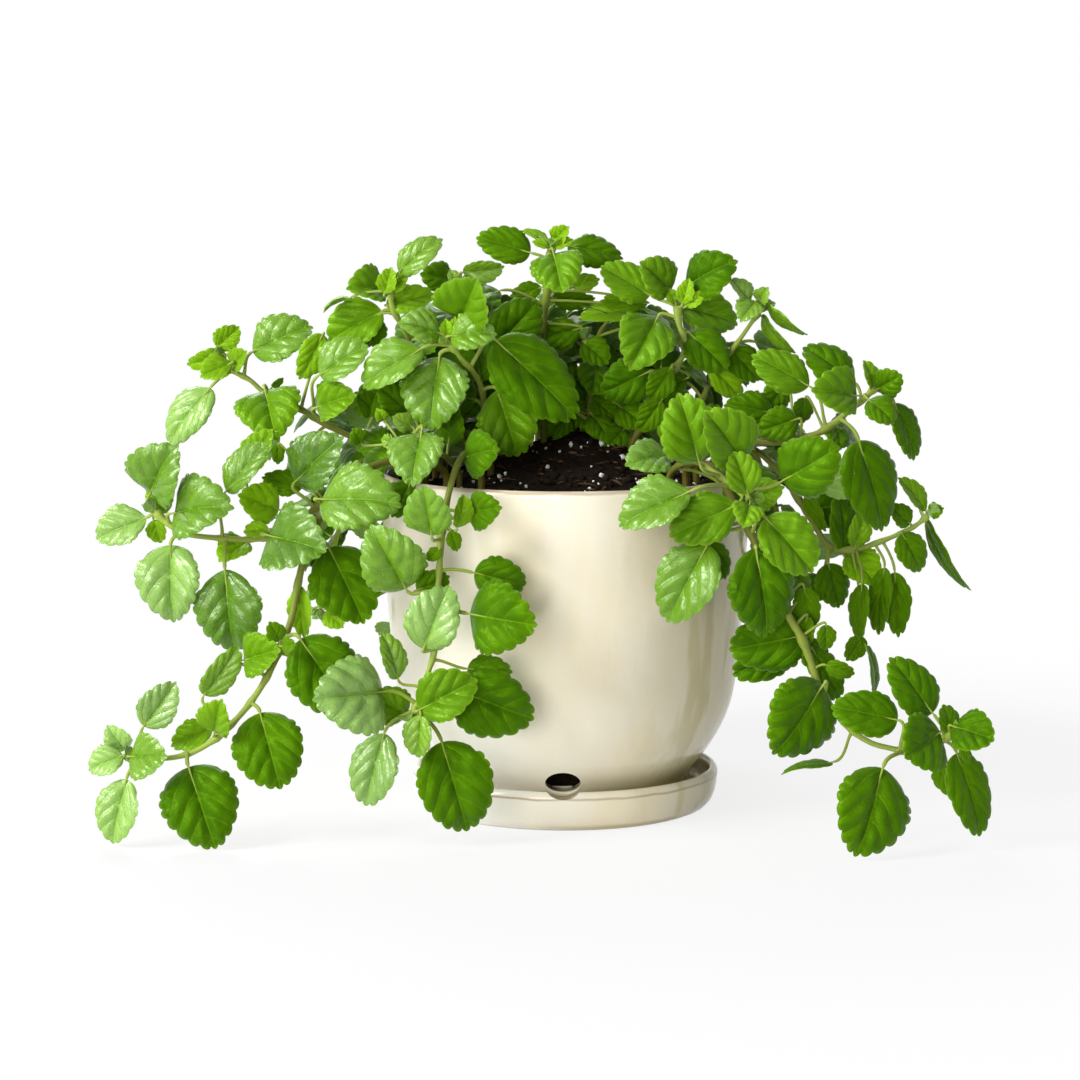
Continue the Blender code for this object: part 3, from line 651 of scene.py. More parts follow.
class Shells:
    """Gathers closed shells with their tones, and makes one mesh of them."""

    def __init__(self) -> None:
        """Starts empty."""
        self.places: list[np.ndarray] = []
        self.faces: Faces = []
        self.finishes: list[int] = []
        self.blades: list[np.ndarray] = []
        self.tones: list[np.ndarray] = []
        self.count = 0

    def add(
        self, places: np.ndarray, faces: Iterable[Sequence[int]], finish: int = 0,
        tone: Any = (0.5, 0.0, 0.0, 1.0), blade: Optional[np.ndarray] = None,
    ) -> None:
        """Adds one closed shell.

        Args:
            places: The vertices, one row each.
            faces: Vertex numbers of each face, counted within this shell.
            finish: The faces' material index.
            tone: One RGBA tone, or one for each vertex.
            blade: Place on the blade for each vertex, where it is a blade.
        """
        total = len(places)
        added = [[self.count + number for number in face] for face in faces]
        self.places.append(places)
        self.faces.extend(added)
        self.finishes.extend([finish] * len(added))
        self.tones.append(np.broadcast_to(np.asarray(tone, float), (total, 4)))
        self.blades.append(np.zeros((total, 2)) if blade is None else blade)
        self.count += total

    def mesh(self, name: str, materials: Sequence[Material], sharp: float = 55.0) -> Mesh:
        """Makes the mesh.

        Args:
            name: The mesh's name.
            materials: Its materials in the order of the faces' indices.
            sharp: The angle from which an edge is shaded sharp, in degrees.

        Returns:
            The mesh of all the shells.
        """
        made = bpy.data.meshes.new(name)
        made.from_pydata(np.vstack(self.places).tolist(), [], self.faces)
        for entry in materials:
            made.materials.append(entry)
        made.polygons.foreach_set("material_index", np.array(self.finishes, np.int32))
        corners = np.empty(len(made.loops), np.int32)
        made.loops.foreach_get("vertex_index", corners)
        layer = made.uv_layers.new(name=BLADE_UV)
        layer.data.foreach_set("uv", np.vstack(self.blades)[corners].astype(np.float32).ravel())
        tones = made.color_attributes.new(name=TONE, type="FLOAT_COLOR", domain="POINT")
        tones.data.foreach_set("color", np.vstack(self.tones).astype(np.float32).ravel())
        made.polygons.foreach_set("use_smooth", np.ones(len(made.polygons), bool))
        made.set_sharp_from_angle(angle=math.radians(sharp))
        made.validate()
        made.update()
        return made


def smooth_line(points: Sequence[Sequence[float]], per_span: int) -> np.ndarray:
    """Samples a smooth curve through points.

    Args:
        points: The points that the curve passes, in order.
        per_span: How many samples each span gets.

    Returns:
        The samples, one row each, from the first point to the last.
    """
    known = np.asarray(points, float)
    padded = np.vstack([2 * known[0] - known[1], known, 2 * known[-1] - known[-2]])
    shares = np.linspace(0.0, 1.0, per_span, endpoint=False)[:, None]
    samples = []
    for before, first, second, after in zip(padded, padded[1:], padded[2:], padded[3:]):
        bend = 2 * before - 5 * first + 4 * second - after
        twist = 3 * first - before - 3 * second + after
        samples.append(first + 0.5 * shares * (second - before + shares * (bend + shares * twist)))
    samples.append(known[-1:])
    return np.vstack(samples)


def around(count: int) -> np.ndarray:
    """Returns evenly spaced angles of a whole turn."""
    return np.linspace(0.0, math.tau, count, endpoint=False)


def band(near: int, far: int, count: int, inward: bool = False) -> list[tuple[int, ...]]:
    """Makes the faces between two rings of vertices.

    Args:
        near: The number of the first ring's first vertex.
        far: The number of the second ring's first vertex.
        count: How many vertices each ring has.
        inward: Whether the faces turn the other way.

    Returns:
        One face for each step around.
    """
    steps = [(turn, (turn + 1) % count) for turn in range(count)]
    faces = [(near + turn, near + after, far + after, far + turn) for turn, after in steps]
    return [face[:1] + face[:0:-1] for face in faces] if inward else faces


def tube(
    line: np.ndarray, radii: np.ndarray, sides: int, square: float = 0.0
) -> tuple[np.ndarray, Faces]:
    """Makes a closed tube along a line.

    Args:
        line: The centre line's points.
        radii: The radius at each point.
        sides: How many sides the tube has.
        square: How far its section bulges at four corners, as a share.

    Returns:
        The vertices and the faces.
    """
    ways = np.gradient(line, axis=0)
    ways /= np.linalg.norm(ways, axis=1)[:, None]
    out = np.cross(ways[0], TUBE_SIDE)
    turns = around(sides)
    bulge = 1.0 + square * np.cos(4 * turns)
    rings = []
    for place, way, radius in zip(line, ways, radii):
        out = out - way * np.dot(out, way)
        out /= np.linalg.norm(out)
        circle = np.cos(turns)[:, None] * out + np.sin(turns)[:, None] * np.cross(way, out)
        rings.append(place + radius * bulge[:, None] * circle)
    last = (len(line) - 1) * sides
    faces: Faces = []
    for near in range(0, last, sides):
        faces += band(near, near + sides, sides)
    faces += [range(sides)[::-1], range(last, last + sides)]
    return np.vstack(rings), faces


def finished(bm: bmesh.types.BMesh, name: str) -> Mesh:
    """Turns a shape that is being built into a mesh, and frees it.

    Args:
        bm: The shape.
        name: The mesh's name.

    Returns:
        The mesh.
    """
    mesh = bpy.data.meshes.new(name)
    bm.to_mesh(mesh)
    bm.free()
    return mesh


def link(name: str, data: Any) -> bpy.types.Object:
    """Makes an object of a mesh, a lamp or a camera, and puts it in the scene.

    Args:
        name: The object's name.
        data: The mesh, the lamp or the camera.

    Returns:
        The object.
    """
    made = bpy.data.objects.new(name, data)
    bpy.context.scene.collection.objects.link(made)
    return made


def show(mesh: Mesh, slot: Slot, *nodes: str) -> None:
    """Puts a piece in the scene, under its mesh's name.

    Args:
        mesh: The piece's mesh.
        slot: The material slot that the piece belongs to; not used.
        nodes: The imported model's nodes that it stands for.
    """
    made = link(mesh.name, mesh)
    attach(made, BODY)
    if nodes:
        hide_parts(*nodes)
    logger.info("%s: %d faces", mesh.name, len(mesh.polygons))


# --------------------------------------------------- the pot


@dataclass
class Pot:
    """The turned pot with its own saucer and the drain hole at the front."""

    rim_radius: float = 85.0 * MM
    height: float = 154.0 * MM
    rim_rise: float = 3.0 * MM
    foot_radius: float = 56.0 * MM
    saucer_radius: float = 70.5 * MM
    saucer_height: float = 18.3 * MM
    saucer_lip: float = 4.6 * MM
    saucer_floor: float = 8.0 * MM
    underside_inset: float = 7.0 * MM
    floor: float = 12.5 * MM
    hole_radius: float = 7.0 * MM
    hole_form: Row = (1.16, 0.82)
    hole_height: float = 21.0 * MM
    hole_x: float = -1.5 * MM
    drill: Row = (28.0 * MM, 2.0 * MM)
    sides: int = 168
    collar_rings: int = 72
    collar_sides: int = 12
    collar_size: Row = (0.45 * MM, 0.90 * MM)
    collar_sink: float = 0.25 * MM
    wall: tuple[Row, ...] = (
        (151.0, 0.0, 4.2), (126.0, 1.6, 4.4), (98.0, 3.0, 4.6), (74.0, 5.0, 5.0), (58.0, 6.7, 5.8),
        (45.5, 9.6, 6.6), (34.5, 14.6, 7.2), (25.0, 20.6, 8.0),
    )

    def outer_wall(self) -> np.ndarray:
        """Draws the outer wall from the rim down to the well.

        Returns:
            Its rows of radius and height.
        """
        rows = [(self.rim_radius - inset * MM, height * MM) for height, inset, _ in self.wall]
        rows += [(self.foot_radius + 2.7 * MM, 17.0 * MM), (self.foot_radius, self.saucer_floor + 1.5 * MM)]
        return smooth_line(rows, 7)

    def inner_rows(self) -> np.ndarray:
        """Draws the inner wall from the rim down to the floor.

        Returns:
            Its rows of radius and height, before they are smoothed.
        """
        rows = [(self.rim_radius - (inset + thick) * MM, height * MM) for height, inset, thick in self.wall]
        rows += [(self.foot_radius - 9.5 * MM, 17.5 * MM), (self.foot_radius - 19.5 * MM, self.floor)]
        return np.array(rows)

    def inner_wall(self) -> np.ndarray:
        """Returns the inner wall as a smooth line, as (radius, height)."""
        return smooth_line(self.inner_rows(), 3)

    def inner_radius(self, height: float) -> float:
        """Returns the inner radius at a height."""
        rows = self.inner_rows()[::-1]
        return float(np.interp(height, rows[:, 1], rows[:, 0]))

    def outer_radius(self, height: float) -> float:
        """Returns the outer radius at a height."""
        wall = self.outer_wall()[::-1]
        return float(np.interp(height, wall[:, 1], wall[:, 0]))

    def outline(self) -> np.ndarray:
        """Joins the whole turned outline, from the pot's floor to the underside.

        Returns:
            Its rows of radius and height.
        """
        inner = self.inner_wall()[::-1]
        middle = 0.5 * (self.rim_radius + inner[-1][0])
        half = 0.5 * (self.rim_radius - inner[-1][0])
        turns = np.radians(np.linspace(170, 10, 11))
        crown = self.height - self.rim_rise + self.rim_rise * np.sin(turns) ** 0.8
        rim = np.column_stack((middle + half * np.cos(turns), crown))
        lip, edge = self.saucer_radius - self.saucer_lip, self.saucer_radius
        floor, top = self.saucer_floor, self.saucer_height
        well = smooth_line((
            (self.foot_radius, floor + 1.5 * MM), (self.foot_radius + 1.2 * MM, floor),
            (lip - 3.5 * MM, floor + 0.1 * MM), (lip - 0.9 * MM, floor + 2.8 * MM),
            (lip + 0.2 * MM, top - 2.4 * MM), (lip + 1.1 * MM, top - 0.6 * MM),
            (lip + 0.5 * self.saucer_lip, top), (edge - 1.0 * MM, top - 0.7 * MM),
            (edge - 0.1 * MM, top - 2.6 * MM), (edge - 0.2 * MM, top - 5.0 * MM),
            (edge - 1.0 * MM, floor), (edge - 2.6 * MM, 3.6 * MM), (edge - 5.0 * MM, 0.8 * MM),
        ), 5)[1:]
        foot = edge - self.underside_inset
        under = ((foot, 0.0), (foot - 8.0 * MM, 0.0), (0.0, 0.0))
        return np.vstack(((0.0, self.floor), inner, rim, self.outer_wall(), well, under))

    def drill_mesh(self) -> Mesh:
        """Makes the slightly wide cylinder that cuts the drain hole.

        Returns:
            The mesh.
        """
        length, ahead = self.drill
        wide, high = self.hole_form
        place = Matrix.Translation((self.hole_x, -self.foot_radius - ahead, self.hole_height))
        turn = Matrix.Diagonal((wide, 1.0, high, 1.0)) @ Matrix.Rotation(math.radians(90), 4, "X")
        bm = bmesh.new()
        bmesh.ops.create_cone(
            bm, cap_ends=True, segments=64, radius1=self.hole_radius, radius2=self.hole_radius,
            depth=length, matrix=place @ turn,
        )
        return finished(bm, "drain_drill")

    def body(self) -> Mesh:
        """Turns the outline and cuts the drain hole through the wall.

        Returns:
            The mesh.
        """
        bm = bmesh.new()
        chain = [bm.verts.new((radius, 0.0, height)) for radius, height in self.outline()]
        edges = [bm.edges.new(pair) for pair in zip(chain, chain[1:])]
        bmesh.ops.spin(
            bm, geom=chain + edges, cent=(0.0, 0.0, 0.0), axis=(0.0, 0.0, 1.0), angle=math.tau,
            steps=self.sides, use_merge=True,
        )
        bmesh.ops.remove_doubles(bm, verts=bm.verts, dist=0.01 * MM)
        bmesh.ops.recalc_face_normals(bm, faces=bm.faces)
        blank = link("pot_blank", finished(bm, "pot_blank"))
        drill = link("drain_drill", self.drill_mesh())
        cut = blank.modifiers.new("Drain", "BOOLEAN")
        cut.operation = "DIFFERENCE"
        cut.solver = "EXACT"
        cut.object = drill
        bpy.context.view_layer.update()
        done = bpy.data.meshes.new_from_object(blank.evaluated_get(bpy.context.evaluated_depsgraph_get()))
        done.name = "glazed_pot"
        for entry in (blank, drill):
            bpy.data.objects.remove(entry)
        done.polygons.foreach_set("use_smooth", np.ones(len(done.polygons), bool))
        done.set_sharp_from_angle(angle=math.radians(38))
        done.materials.clear()
        return done

    def hole_collar(self) -> Mesh:
        """Makes the rounded lip of glaze around the drain hole, thickest below.

        Returns:
            The mesh.
        """
        turns = around(self.collar_rings)
        wide, high = [share * self.hole_radius + 0.1 * MM for share in self.hole_form]
        x = self.hole_x + wide * np.cos(turns)
        z = self.hole_height + high * np.sin(turns)
        least, more = self.collar_size
        thick = least + more * np.clip(-np.sin(turns), 0.0, 1.0) ** 1.5
        radius = np.array([self.outer_radius(height) for height in z])
        centres = np.column_stack((x, -np.sqrt(radius**2 - x**2) + self.collar_sink, z))
        outward = np.column_stack((np.cos(turns), np.zeros(self.collar_rings), np.sin(turns)))
        ahead = np.array((0.0, -1.0, 0.35)) / 1.06
        side = around(self.collar_sides)
        rings, faces, count = [], [], self.collar_sides
        for ring, (centre, away, size) in enumerate(zip(centres, outward, thick)):
            circle = np.cos(side)[:, None] * away + 0.85 * np.sin(side)[:, None] * ahead
            rings.append(centre + size * circle)
            faces += band(ring * count, (ring + 1) % self.collar_rings * count, count, True)
        shells = Shells()
        shells.add(np.vstack(rings), faces)
        return shells.mesh("drain_hole_collar", [], 80.0)

    def build(self, glaze: Material) -> None:
        """Builds the pot and its drain hole's collar.

        Args:
            glaze: The glaze's material.
        """
        for mesh, *nodes in ((self.body(), "pot_with_saucer"), (self.hole_collar(),)):
            mesh.materials.append(glaze)
            show(mesh, Slot.GLAZE, *nodes)


# -------------------------------------------------- the soil


@dataclass
class Soil:
    """The potting mix: its crumbly surface, bark slivers and perlite grains."""

    pot: Pot
    edge_height: float = 149.5 * MM
    crown: float = 12.0 * MM
    mound: Row = (12.0 * MM, 14.0 * MM, 36.0 * MM, 11.0 * MM)
    gap: float = 0.4 * MM
    rings: int = 54
    sides: int = 150
    crumbs: int = 620
    slivers: int = 300
    grains: int = 210
    seed: int = 11
    lumps: tuple[Row, ...] = ((90.0, 1.6), (260.0, 1.1), (620.0, 0.6))
    lump_middle: float = 1.4

    def height(self, radius: float) -> float:
        """Works out the surface's even height.

        Args:
            radius: The distance from the axis, in metres.

        Returns:
            The height there.
        """
        edge = self.pot.inner_radius(self.edge_height)
        share = min(1.0, radius / edge)
        return self.edge_height + self.crown * 0.5 * (1 + math.cos(math.pi * share))

    def rough_height(self, x: float, y: float) -> float:
        """Works out the crumbly surface's height.

        Args:
            x: The place across, in metres.
            y: The place in depth, in metres.

        Returns:
            The height there.
        """
        middle_x, middle_y, reach, rise = self.mound
        even = self.height(math.hypot(x, y))
        even += rise * math.exp(-((x - middle_x) ** 2 + (y - middle_y) ** 2) / reach**2)
        place = Vector((x, y, 0.0))
        lumps = sum(noise.noise(place * scale) * size for scale, size in self.lumps)
        return even + (lumps - self.lump_middle) * MM

    def surface(self) -> tuple[np.ndarray, Faces]:
        """Makes the closed body of soil, with its crumbly top.

        Returns:
            Its vertices and its faces.
        """
        edge = self.pot.inner_radius(self.edge_height) - self.gap
        turns = [(math.cos(turn), math.sin(turn)) for turn in around(self.sides)]
        places = [(0.0, 0.0, self.rough_height(0.0, 0.0))]
        for ring in range(1, self.rings + 1):
            radius = edge * ring / self.rings
            places += [(radius * x, radius * y, self.rough_height(radius * x, radius * y)) for x, y in turns]
        wall = [row for row in self.pot.inner_wall() if row[1] < self.edge_height - 4 * MM]
        for radius, height in wall:
            inside = radius - self.gap
            places += [(inside * x, inside * y, height + self.gap) for x, y in turns]
        places.append((0.0, 0.0, self.pot.floor + self.gap))
        last = 1 + (self.rings + len(wall) - 1) * self.sides
        steps = [(turn, (turn + 1) % self.sides) for turn in range(self.sides)]
        faces: Faces = [(0, 1 + turn, 1 + after) for turn, after in steps]
        for near in range(1, last, self.sides):
            faces += band(near, near + self.sides, self.sides, True)
        faces += [(last + turn, len(places) - 1, last + after) for turn, after in steps]
        return np.array(places), faces

    def spot(self, chance: random.Random) -> Vector:
        """Picks a place on the surface, clear of the pot's wall.

        Args:
            chance: The source of the place.

        Returns:
            The place.
        """
        edge = self.pot.inner_radius(self.edge_height) - 3.0 * MM
        radius = edge * math.sqrt(chance.random())
        turn = chance.uniform(0.0, math.tau)
        x, y = radius * math.cos(turn), radius * math.sin(turn)
        return Vector((x, y, self.rough_height(x, y)))

    @staticmethod
    def lump(chance: random.Random, size: float, rough: float) -> tuple[np.ndarray, Faces]:
        """Makes one uneven grain.

        Args:
            chance: The source of the grain's form.
            size: The grain's radius, in metres.
            rough: How uneven it is, as a share of its radius.

        Returns:
            The vertices and the faces.
        """
        bm = bmesh.new()
        bmesh.ops.create_icosphere(bm, subdivisions=2, radius=1.0)
        offset = Vector([chance.uniform(-50, 50) for _ in range(3)])
        stretch = [chance.uniform(0.65, 1.2) for _ in range(3)]
        angle = chance.uniform(0.0, math.tau)
        axis = Vector((chance.random(), chance.random(), 0.5)).normalized()
        turn = Matrix.Rotation(angle, 3, axis)
        for vertex in bm.verts:
            swell = 1.0 + rough * noise.noise(vertex.co * 1.7 + offset)
            stretched = [part * factor for part, factor in zip(vertex.co * swell, stretch)]
            vertex.co = turn @ Vector(stretched) * size
        places = np.array([vertex.co[:] for vertex in bm.verts])
        faces = [[vertex.index for vertex in face.verts] for face in bm.faces]
        bm.free()
        return places, faces

    def scatter(self, count: int, sizes: tuple[float, float], rough: float, sink: float, seed: int) -> Shells:
        """Scatters uneven grains over the surface.

        Args:
            count: How many grains.
            sizes: The smallest and largest radius, in metres.
            rough: How uneven they are, as a share of their radius.
            sink: How far a grain sinks in, as a share of its radius.
            seed: The seed of their places and forms.

        Returns:
            The shells of the grains.
        """
        chance = random.Random(seed)
        shells = Shells()
        for _ in range(count):
            size = sizes[0] + (sizes[1] - sizes[0]) * chance.random() ** 2.2
            places, faces = self.lump(chance, size, rough)
            spot = self.spot(chance) + Vector((0.0, 0.0, size * (1.0 - sink)))
            shells.add(places + np.array(spot), faces, tone=(chance.random(), 0.0, 0.0, 1.0))
        return shells

    def bark(self) -> Shells:
        """Makes the flat slivers of bark that lie in the mix.

        Returns:
            The slivers.
        """
        chance = random.Random(self.seed + 1)
        shells = Shells()
        for _ in range(self.slivers):
            long = chance.uniform(2.5, 9.0) * MM
            wide = chance.uniform(0.4, 1.3) * MM
            turn = chance.uniform(0.0, math.tau)
            way = np.array((math.cos(turn), math.sin(turn), chance.uniform(-0.25, 0.35)))
            middle = np.array(self.spot(chance)) + (0.0, 0.0, 0.7 * MM)
            shares = np.linspace(-0.5, 0.5, 6)
            sway = chance.uniform(-0.12, 0.12) * long
            line = middle + shares[:, None] * long * way
            line[:, 2] += sway * (0.25 - shares**2) * 4
            radii = 0.5 * wide * (0.45 + 0.55 * np.cos(shares * math.pi)) * chance.uniform(0.8, 1.1)
            places, faces = tube(line, radii, 6, 0.25)
            places[:, 2] = middle[2] + (places[:, 2] - middle[2]) * 0.75
            shells.add(places, faces, tone=(chance.random(), 0.0, 0.0, 1.0))
        return shells

    def build(self, mottle: NodeGroup) -> None:
        """Builds the soil and all that lies in it.

        Args:
            mottle: The shared uneven cloud.
        """
        mix = GrainFinish("potting_mix", (0.004, 0.003, 0.002), (0.020, 0.013, 0.008), 420.0)
        bark = GrainFinish("bark", (0.008, 0.005, 0.003), (0.110, 0.062, 0.032), 300.0)
        perlite = GrainFinish("perlite", (0.700, 0.680, 0.620), (0.900, 0.890, 0.860), 500.0, 0.7)
        mix, bark, perlite = [finish.make(mottle) for finish in (mix, bark, perlite)]
        body = Shells()
        body.add(*self.surface())
        crumbs = self.scatter(self.crumbs, (0.6 * MM, 2.2 * MM), 0.5, 0.60, self.seed)
        grains = self.scatter(self.grains, (0.45 * MM, 1.4 * MM), 0.75, 0.0, self.seed + 2)
        for name, shells, finish, sharp, *nodes in (
            ("soil_surface", body, mix, 80.0, "soil"),
            ("soil_crumbs", crumbs, mix, 80.0),
            ("bark_slivers", self.bark(), bark, 60.0),
            ("perlite_grains", grains, perlite, 80.0),
        ):
            show(shells.mesh(name, [finish], sharp), Slot.SOIL, *nodes)


# ----------------------------------------------- the foliage


@dataclass
class Blade:
    """One blade: base and tip of its midrib, width, face and its petiole's start.

    Move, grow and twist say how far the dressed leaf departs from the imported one.
    A plain leaf is one that others mostly hide, with a coarser mesh.
    """

    base: Vector
    tip: Vector
    width: float
    face: Vector
    anchor: Optional[Vector] = None
    move: Vector = field(default_factory=Vector)
    grow: float = 1.0
    twist: float = 0.0
    shade: Shade = Shade.MIDDLE
    plain: bool = False

    @property
    def length(self) -> float:
        """The midrib's length."""
        return (self.tip - self.base).length

    @property
    def midrib(self) -> Vector:
        """The midrib's direction."""
        return (self.tip - self.base).normalized()

    @property
    def middle(self) -> Vector:
        """The midrib's middle."""
        return (self.base + self.tip) * 0.5

    @property
    def youth(self) -> float:
        """How young the leaf is, from 0 for a full one to 1 for one that unfolds."""
        return min(1.0, max(0.0, (20.0 - self.width / MM) / 13.0))


@dataclass
class Stem:
    """One rooted stem: its centre line from the foot up, and its leaves.

    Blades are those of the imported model. Sprouts are the smallest leaves, which
    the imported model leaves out.
    """

    name: str
    radius: float
    route: list[Vector]
    blades: list[Blade] = field(default_factory=list)
    sprouts: list[Blade] = field(default_factory=list)


@dataclass(frozen=True)
class Growth:
    """The measures that every leaf of the plant follows."""

    length_per_width: float = 1.12
    most_lean: float = 0.62
    slope: float = 0.13
    cup: float = 0.17
    droop: float = 0.13
    front: Colour = (0.0, -1.0, 0.42)
    tip_inset: float = 1.2 * MM
    layers: Row = (0.0, -4.0, 4.0, -8.0, 8.0, -12.0, 12.0, -17.0, 17.0, 22.0)
    broad_outline: tuple[Row, ...] = ((0.26, 0.45), (0.68, 0.44))
    small_outline: tuple[Row, ...] = ((0.45, 0.5),)
    small_leaf: float = 13.0 * MM


GROWTH = Growth()


def point(x: float, y: float, z: float) -> Vector:
    """Returns a point given in millimetres."""
    return Vector((x, y, z)) * MM


def square_to(way: Vector, midrib: Vector) -> Vector:
    """Returns the direction nearest to a way that is square to a midrib."""
    return (way - midrib * way.dot(midrib)).normalized()


def leaf(
    base: Row, tip: Row, width: float, roll: float = 0.0,
    move: Row = (0.0, 0.0), grow: float = 1.0, twist: float = 0.0,
) -> Blade:
    """Places a leaf in the front view.

    Args:
        base: Where the blade starts, (x, y, z) in millimetres.
        tip: The tip's (x, z) in millimetres.
        width: The blade's width in millimetres.
        roll: How far the blade turns about its midrib, in degrees.
        move: How far the dressed leaf moves, (x, z) in millimetres.
        grow: How many times larger the dressed leaf is.
        twist: How far the dressed leaf turns about its midrib, in degrees.

    Returns:
        The blade.
    """
    start, end = point(*base), point(tip[0], base[1], tip[1])
    wide = width * MM
    seen = (end - start).length
    hidden = math.sqrt(max(0.0, (GROWTH.length_per_width * wide) ** 2 - seen**2))
    depth = min(hidden, GROWTH.most_lean * wide)
    end += Vector((0.0, -depth, GROWTH.slope * depth))
    midrib = (end - start).normalized()
    face = Matrix.Rotation(math.radians(roll), 3, midrib) @ square_to(Vector(GROWTH.front), midrib)
    moved = point(move[0], 0.0, move[1])
    return Blade(start, end, wide, face, move=moved, grow=grow, twist=math.radians(twist))


def hung(base: Vector, way: Vector, width: float, face: Vector, **others: Any) -> Blade:
    """Makes a blade that points a given way from its base, and faces roughly as given."""
    tip = base + way * (width * GROWTH.length_per_width)
    return Blade(base, tip, width, square_to(face, way), **others)


def stem(
    name: str, radius: float, shades: str, route: Sequence[Row], blades: Sequence[Blade],
    sprouts: Sequence[Blade] = (),
) -> Stem:
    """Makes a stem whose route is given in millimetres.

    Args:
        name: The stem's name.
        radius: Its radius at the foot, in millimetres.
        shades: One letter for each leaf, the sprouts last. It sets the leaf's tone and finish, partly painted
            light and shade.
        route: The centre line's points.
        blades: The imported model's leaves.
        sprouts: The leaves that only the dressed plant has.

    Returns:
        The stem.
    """
    for blade, letter in zip([*blades, *sprouts], shades, strict=True):
        blade.shade = Shade(letter)
    return Stem(name, radius * MM, [point(*place) for place in route], list(blades), list(sprouts))


def anchor_on(route: Sequence[Vector], base: Vector) -> Vector:
    """Finds where a leaf's petiole starts.

    Args:
        route: The stem's centre line.
        base: Where the blade starts.

    Returns:
        The centre line's nearest point, clear of its foot and its end.
    """
    end = route[-1] + (route[-2] - route[-1]).normalized() * GROWTH.tip_inset
    line = list(route[1:-1]) + [end]
    best = (math.inf, line[0])
    for first, second in zip(line, line[1:]):
        span = second - first
        share = max(0.0, min(1.0, (base - first).dot(span) / span.length_squared))
        place = first + span * share
        best = min(best, ((base - place).length, place), key=lambda found: found[0])
    return best[1]


class PackedLeaves:
    """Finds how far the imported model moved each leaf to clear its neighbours."""

    reach = 0.25 * MM

    def __init__(self, node: str) -> None:
        """Indexes a node's vertices.

        Args:
            node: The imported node's name.
        """
        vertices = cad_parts[node].data.vertices
        self.tree = KDTree(len(vertices))
        for index, vertex in enumerate(vertices):
            self.tree.insert(vertex.co, index)
        self.tree.balance()

    def ring(self, blade: Blade) -> list[Vector]:
        """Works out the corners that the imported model's plainer blade has.

        Args:
            blade: The blade.

        Returns:
            Its base, its tip and its sides' corners.
        """
        rows = GROWTH.small_outline if blade.width < GROWTH.small_leaf else GROWTH.broad_outline
        length, midrib = blade.length, blade.midrib
        up = square_to(blade.face, midrib)
        across = midrib.cross(up)
        corners = [blade.base, blade.tip]
        for share, wide in rows:
            for side in (wide * blade.width, -wide * blade.width):
                sink = GROWTH.cup * side * side / (0.5 * blade.width) + GROWTH.droop * length * share**2
                rise = GROWTH.droop * share * length - sink
                corners.append(blade.base + midrib * share * length + across * side + up * rise)
        return corners

    def settle(self, blade: Blade, route: Sequence[Vector]) -> Optional[Blade]:
        """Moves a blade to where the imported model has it.

        Args:
            blade: The blade as planned.
            route: Its stem's centre line.

        Returns:
            The moved blade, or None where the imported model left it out.
        """
        corners = self.ring(blade)
        best = (1, None)
        for layer in GROWTH.layers:
            step = Vector((0.0, layer, -GROWTH.slope * layer)) * MM
            met = sum(self.tree.find(corner + step)[2] < self.reach for corner in corners)
            if met > best[0]:
                best = (met, step)
        if best[1] is None:
            return None
        base = blade.base + best[1]
        return replace(blade, base=base, tip=blade.tip + best[1], anchor=anchor_on(route, base))


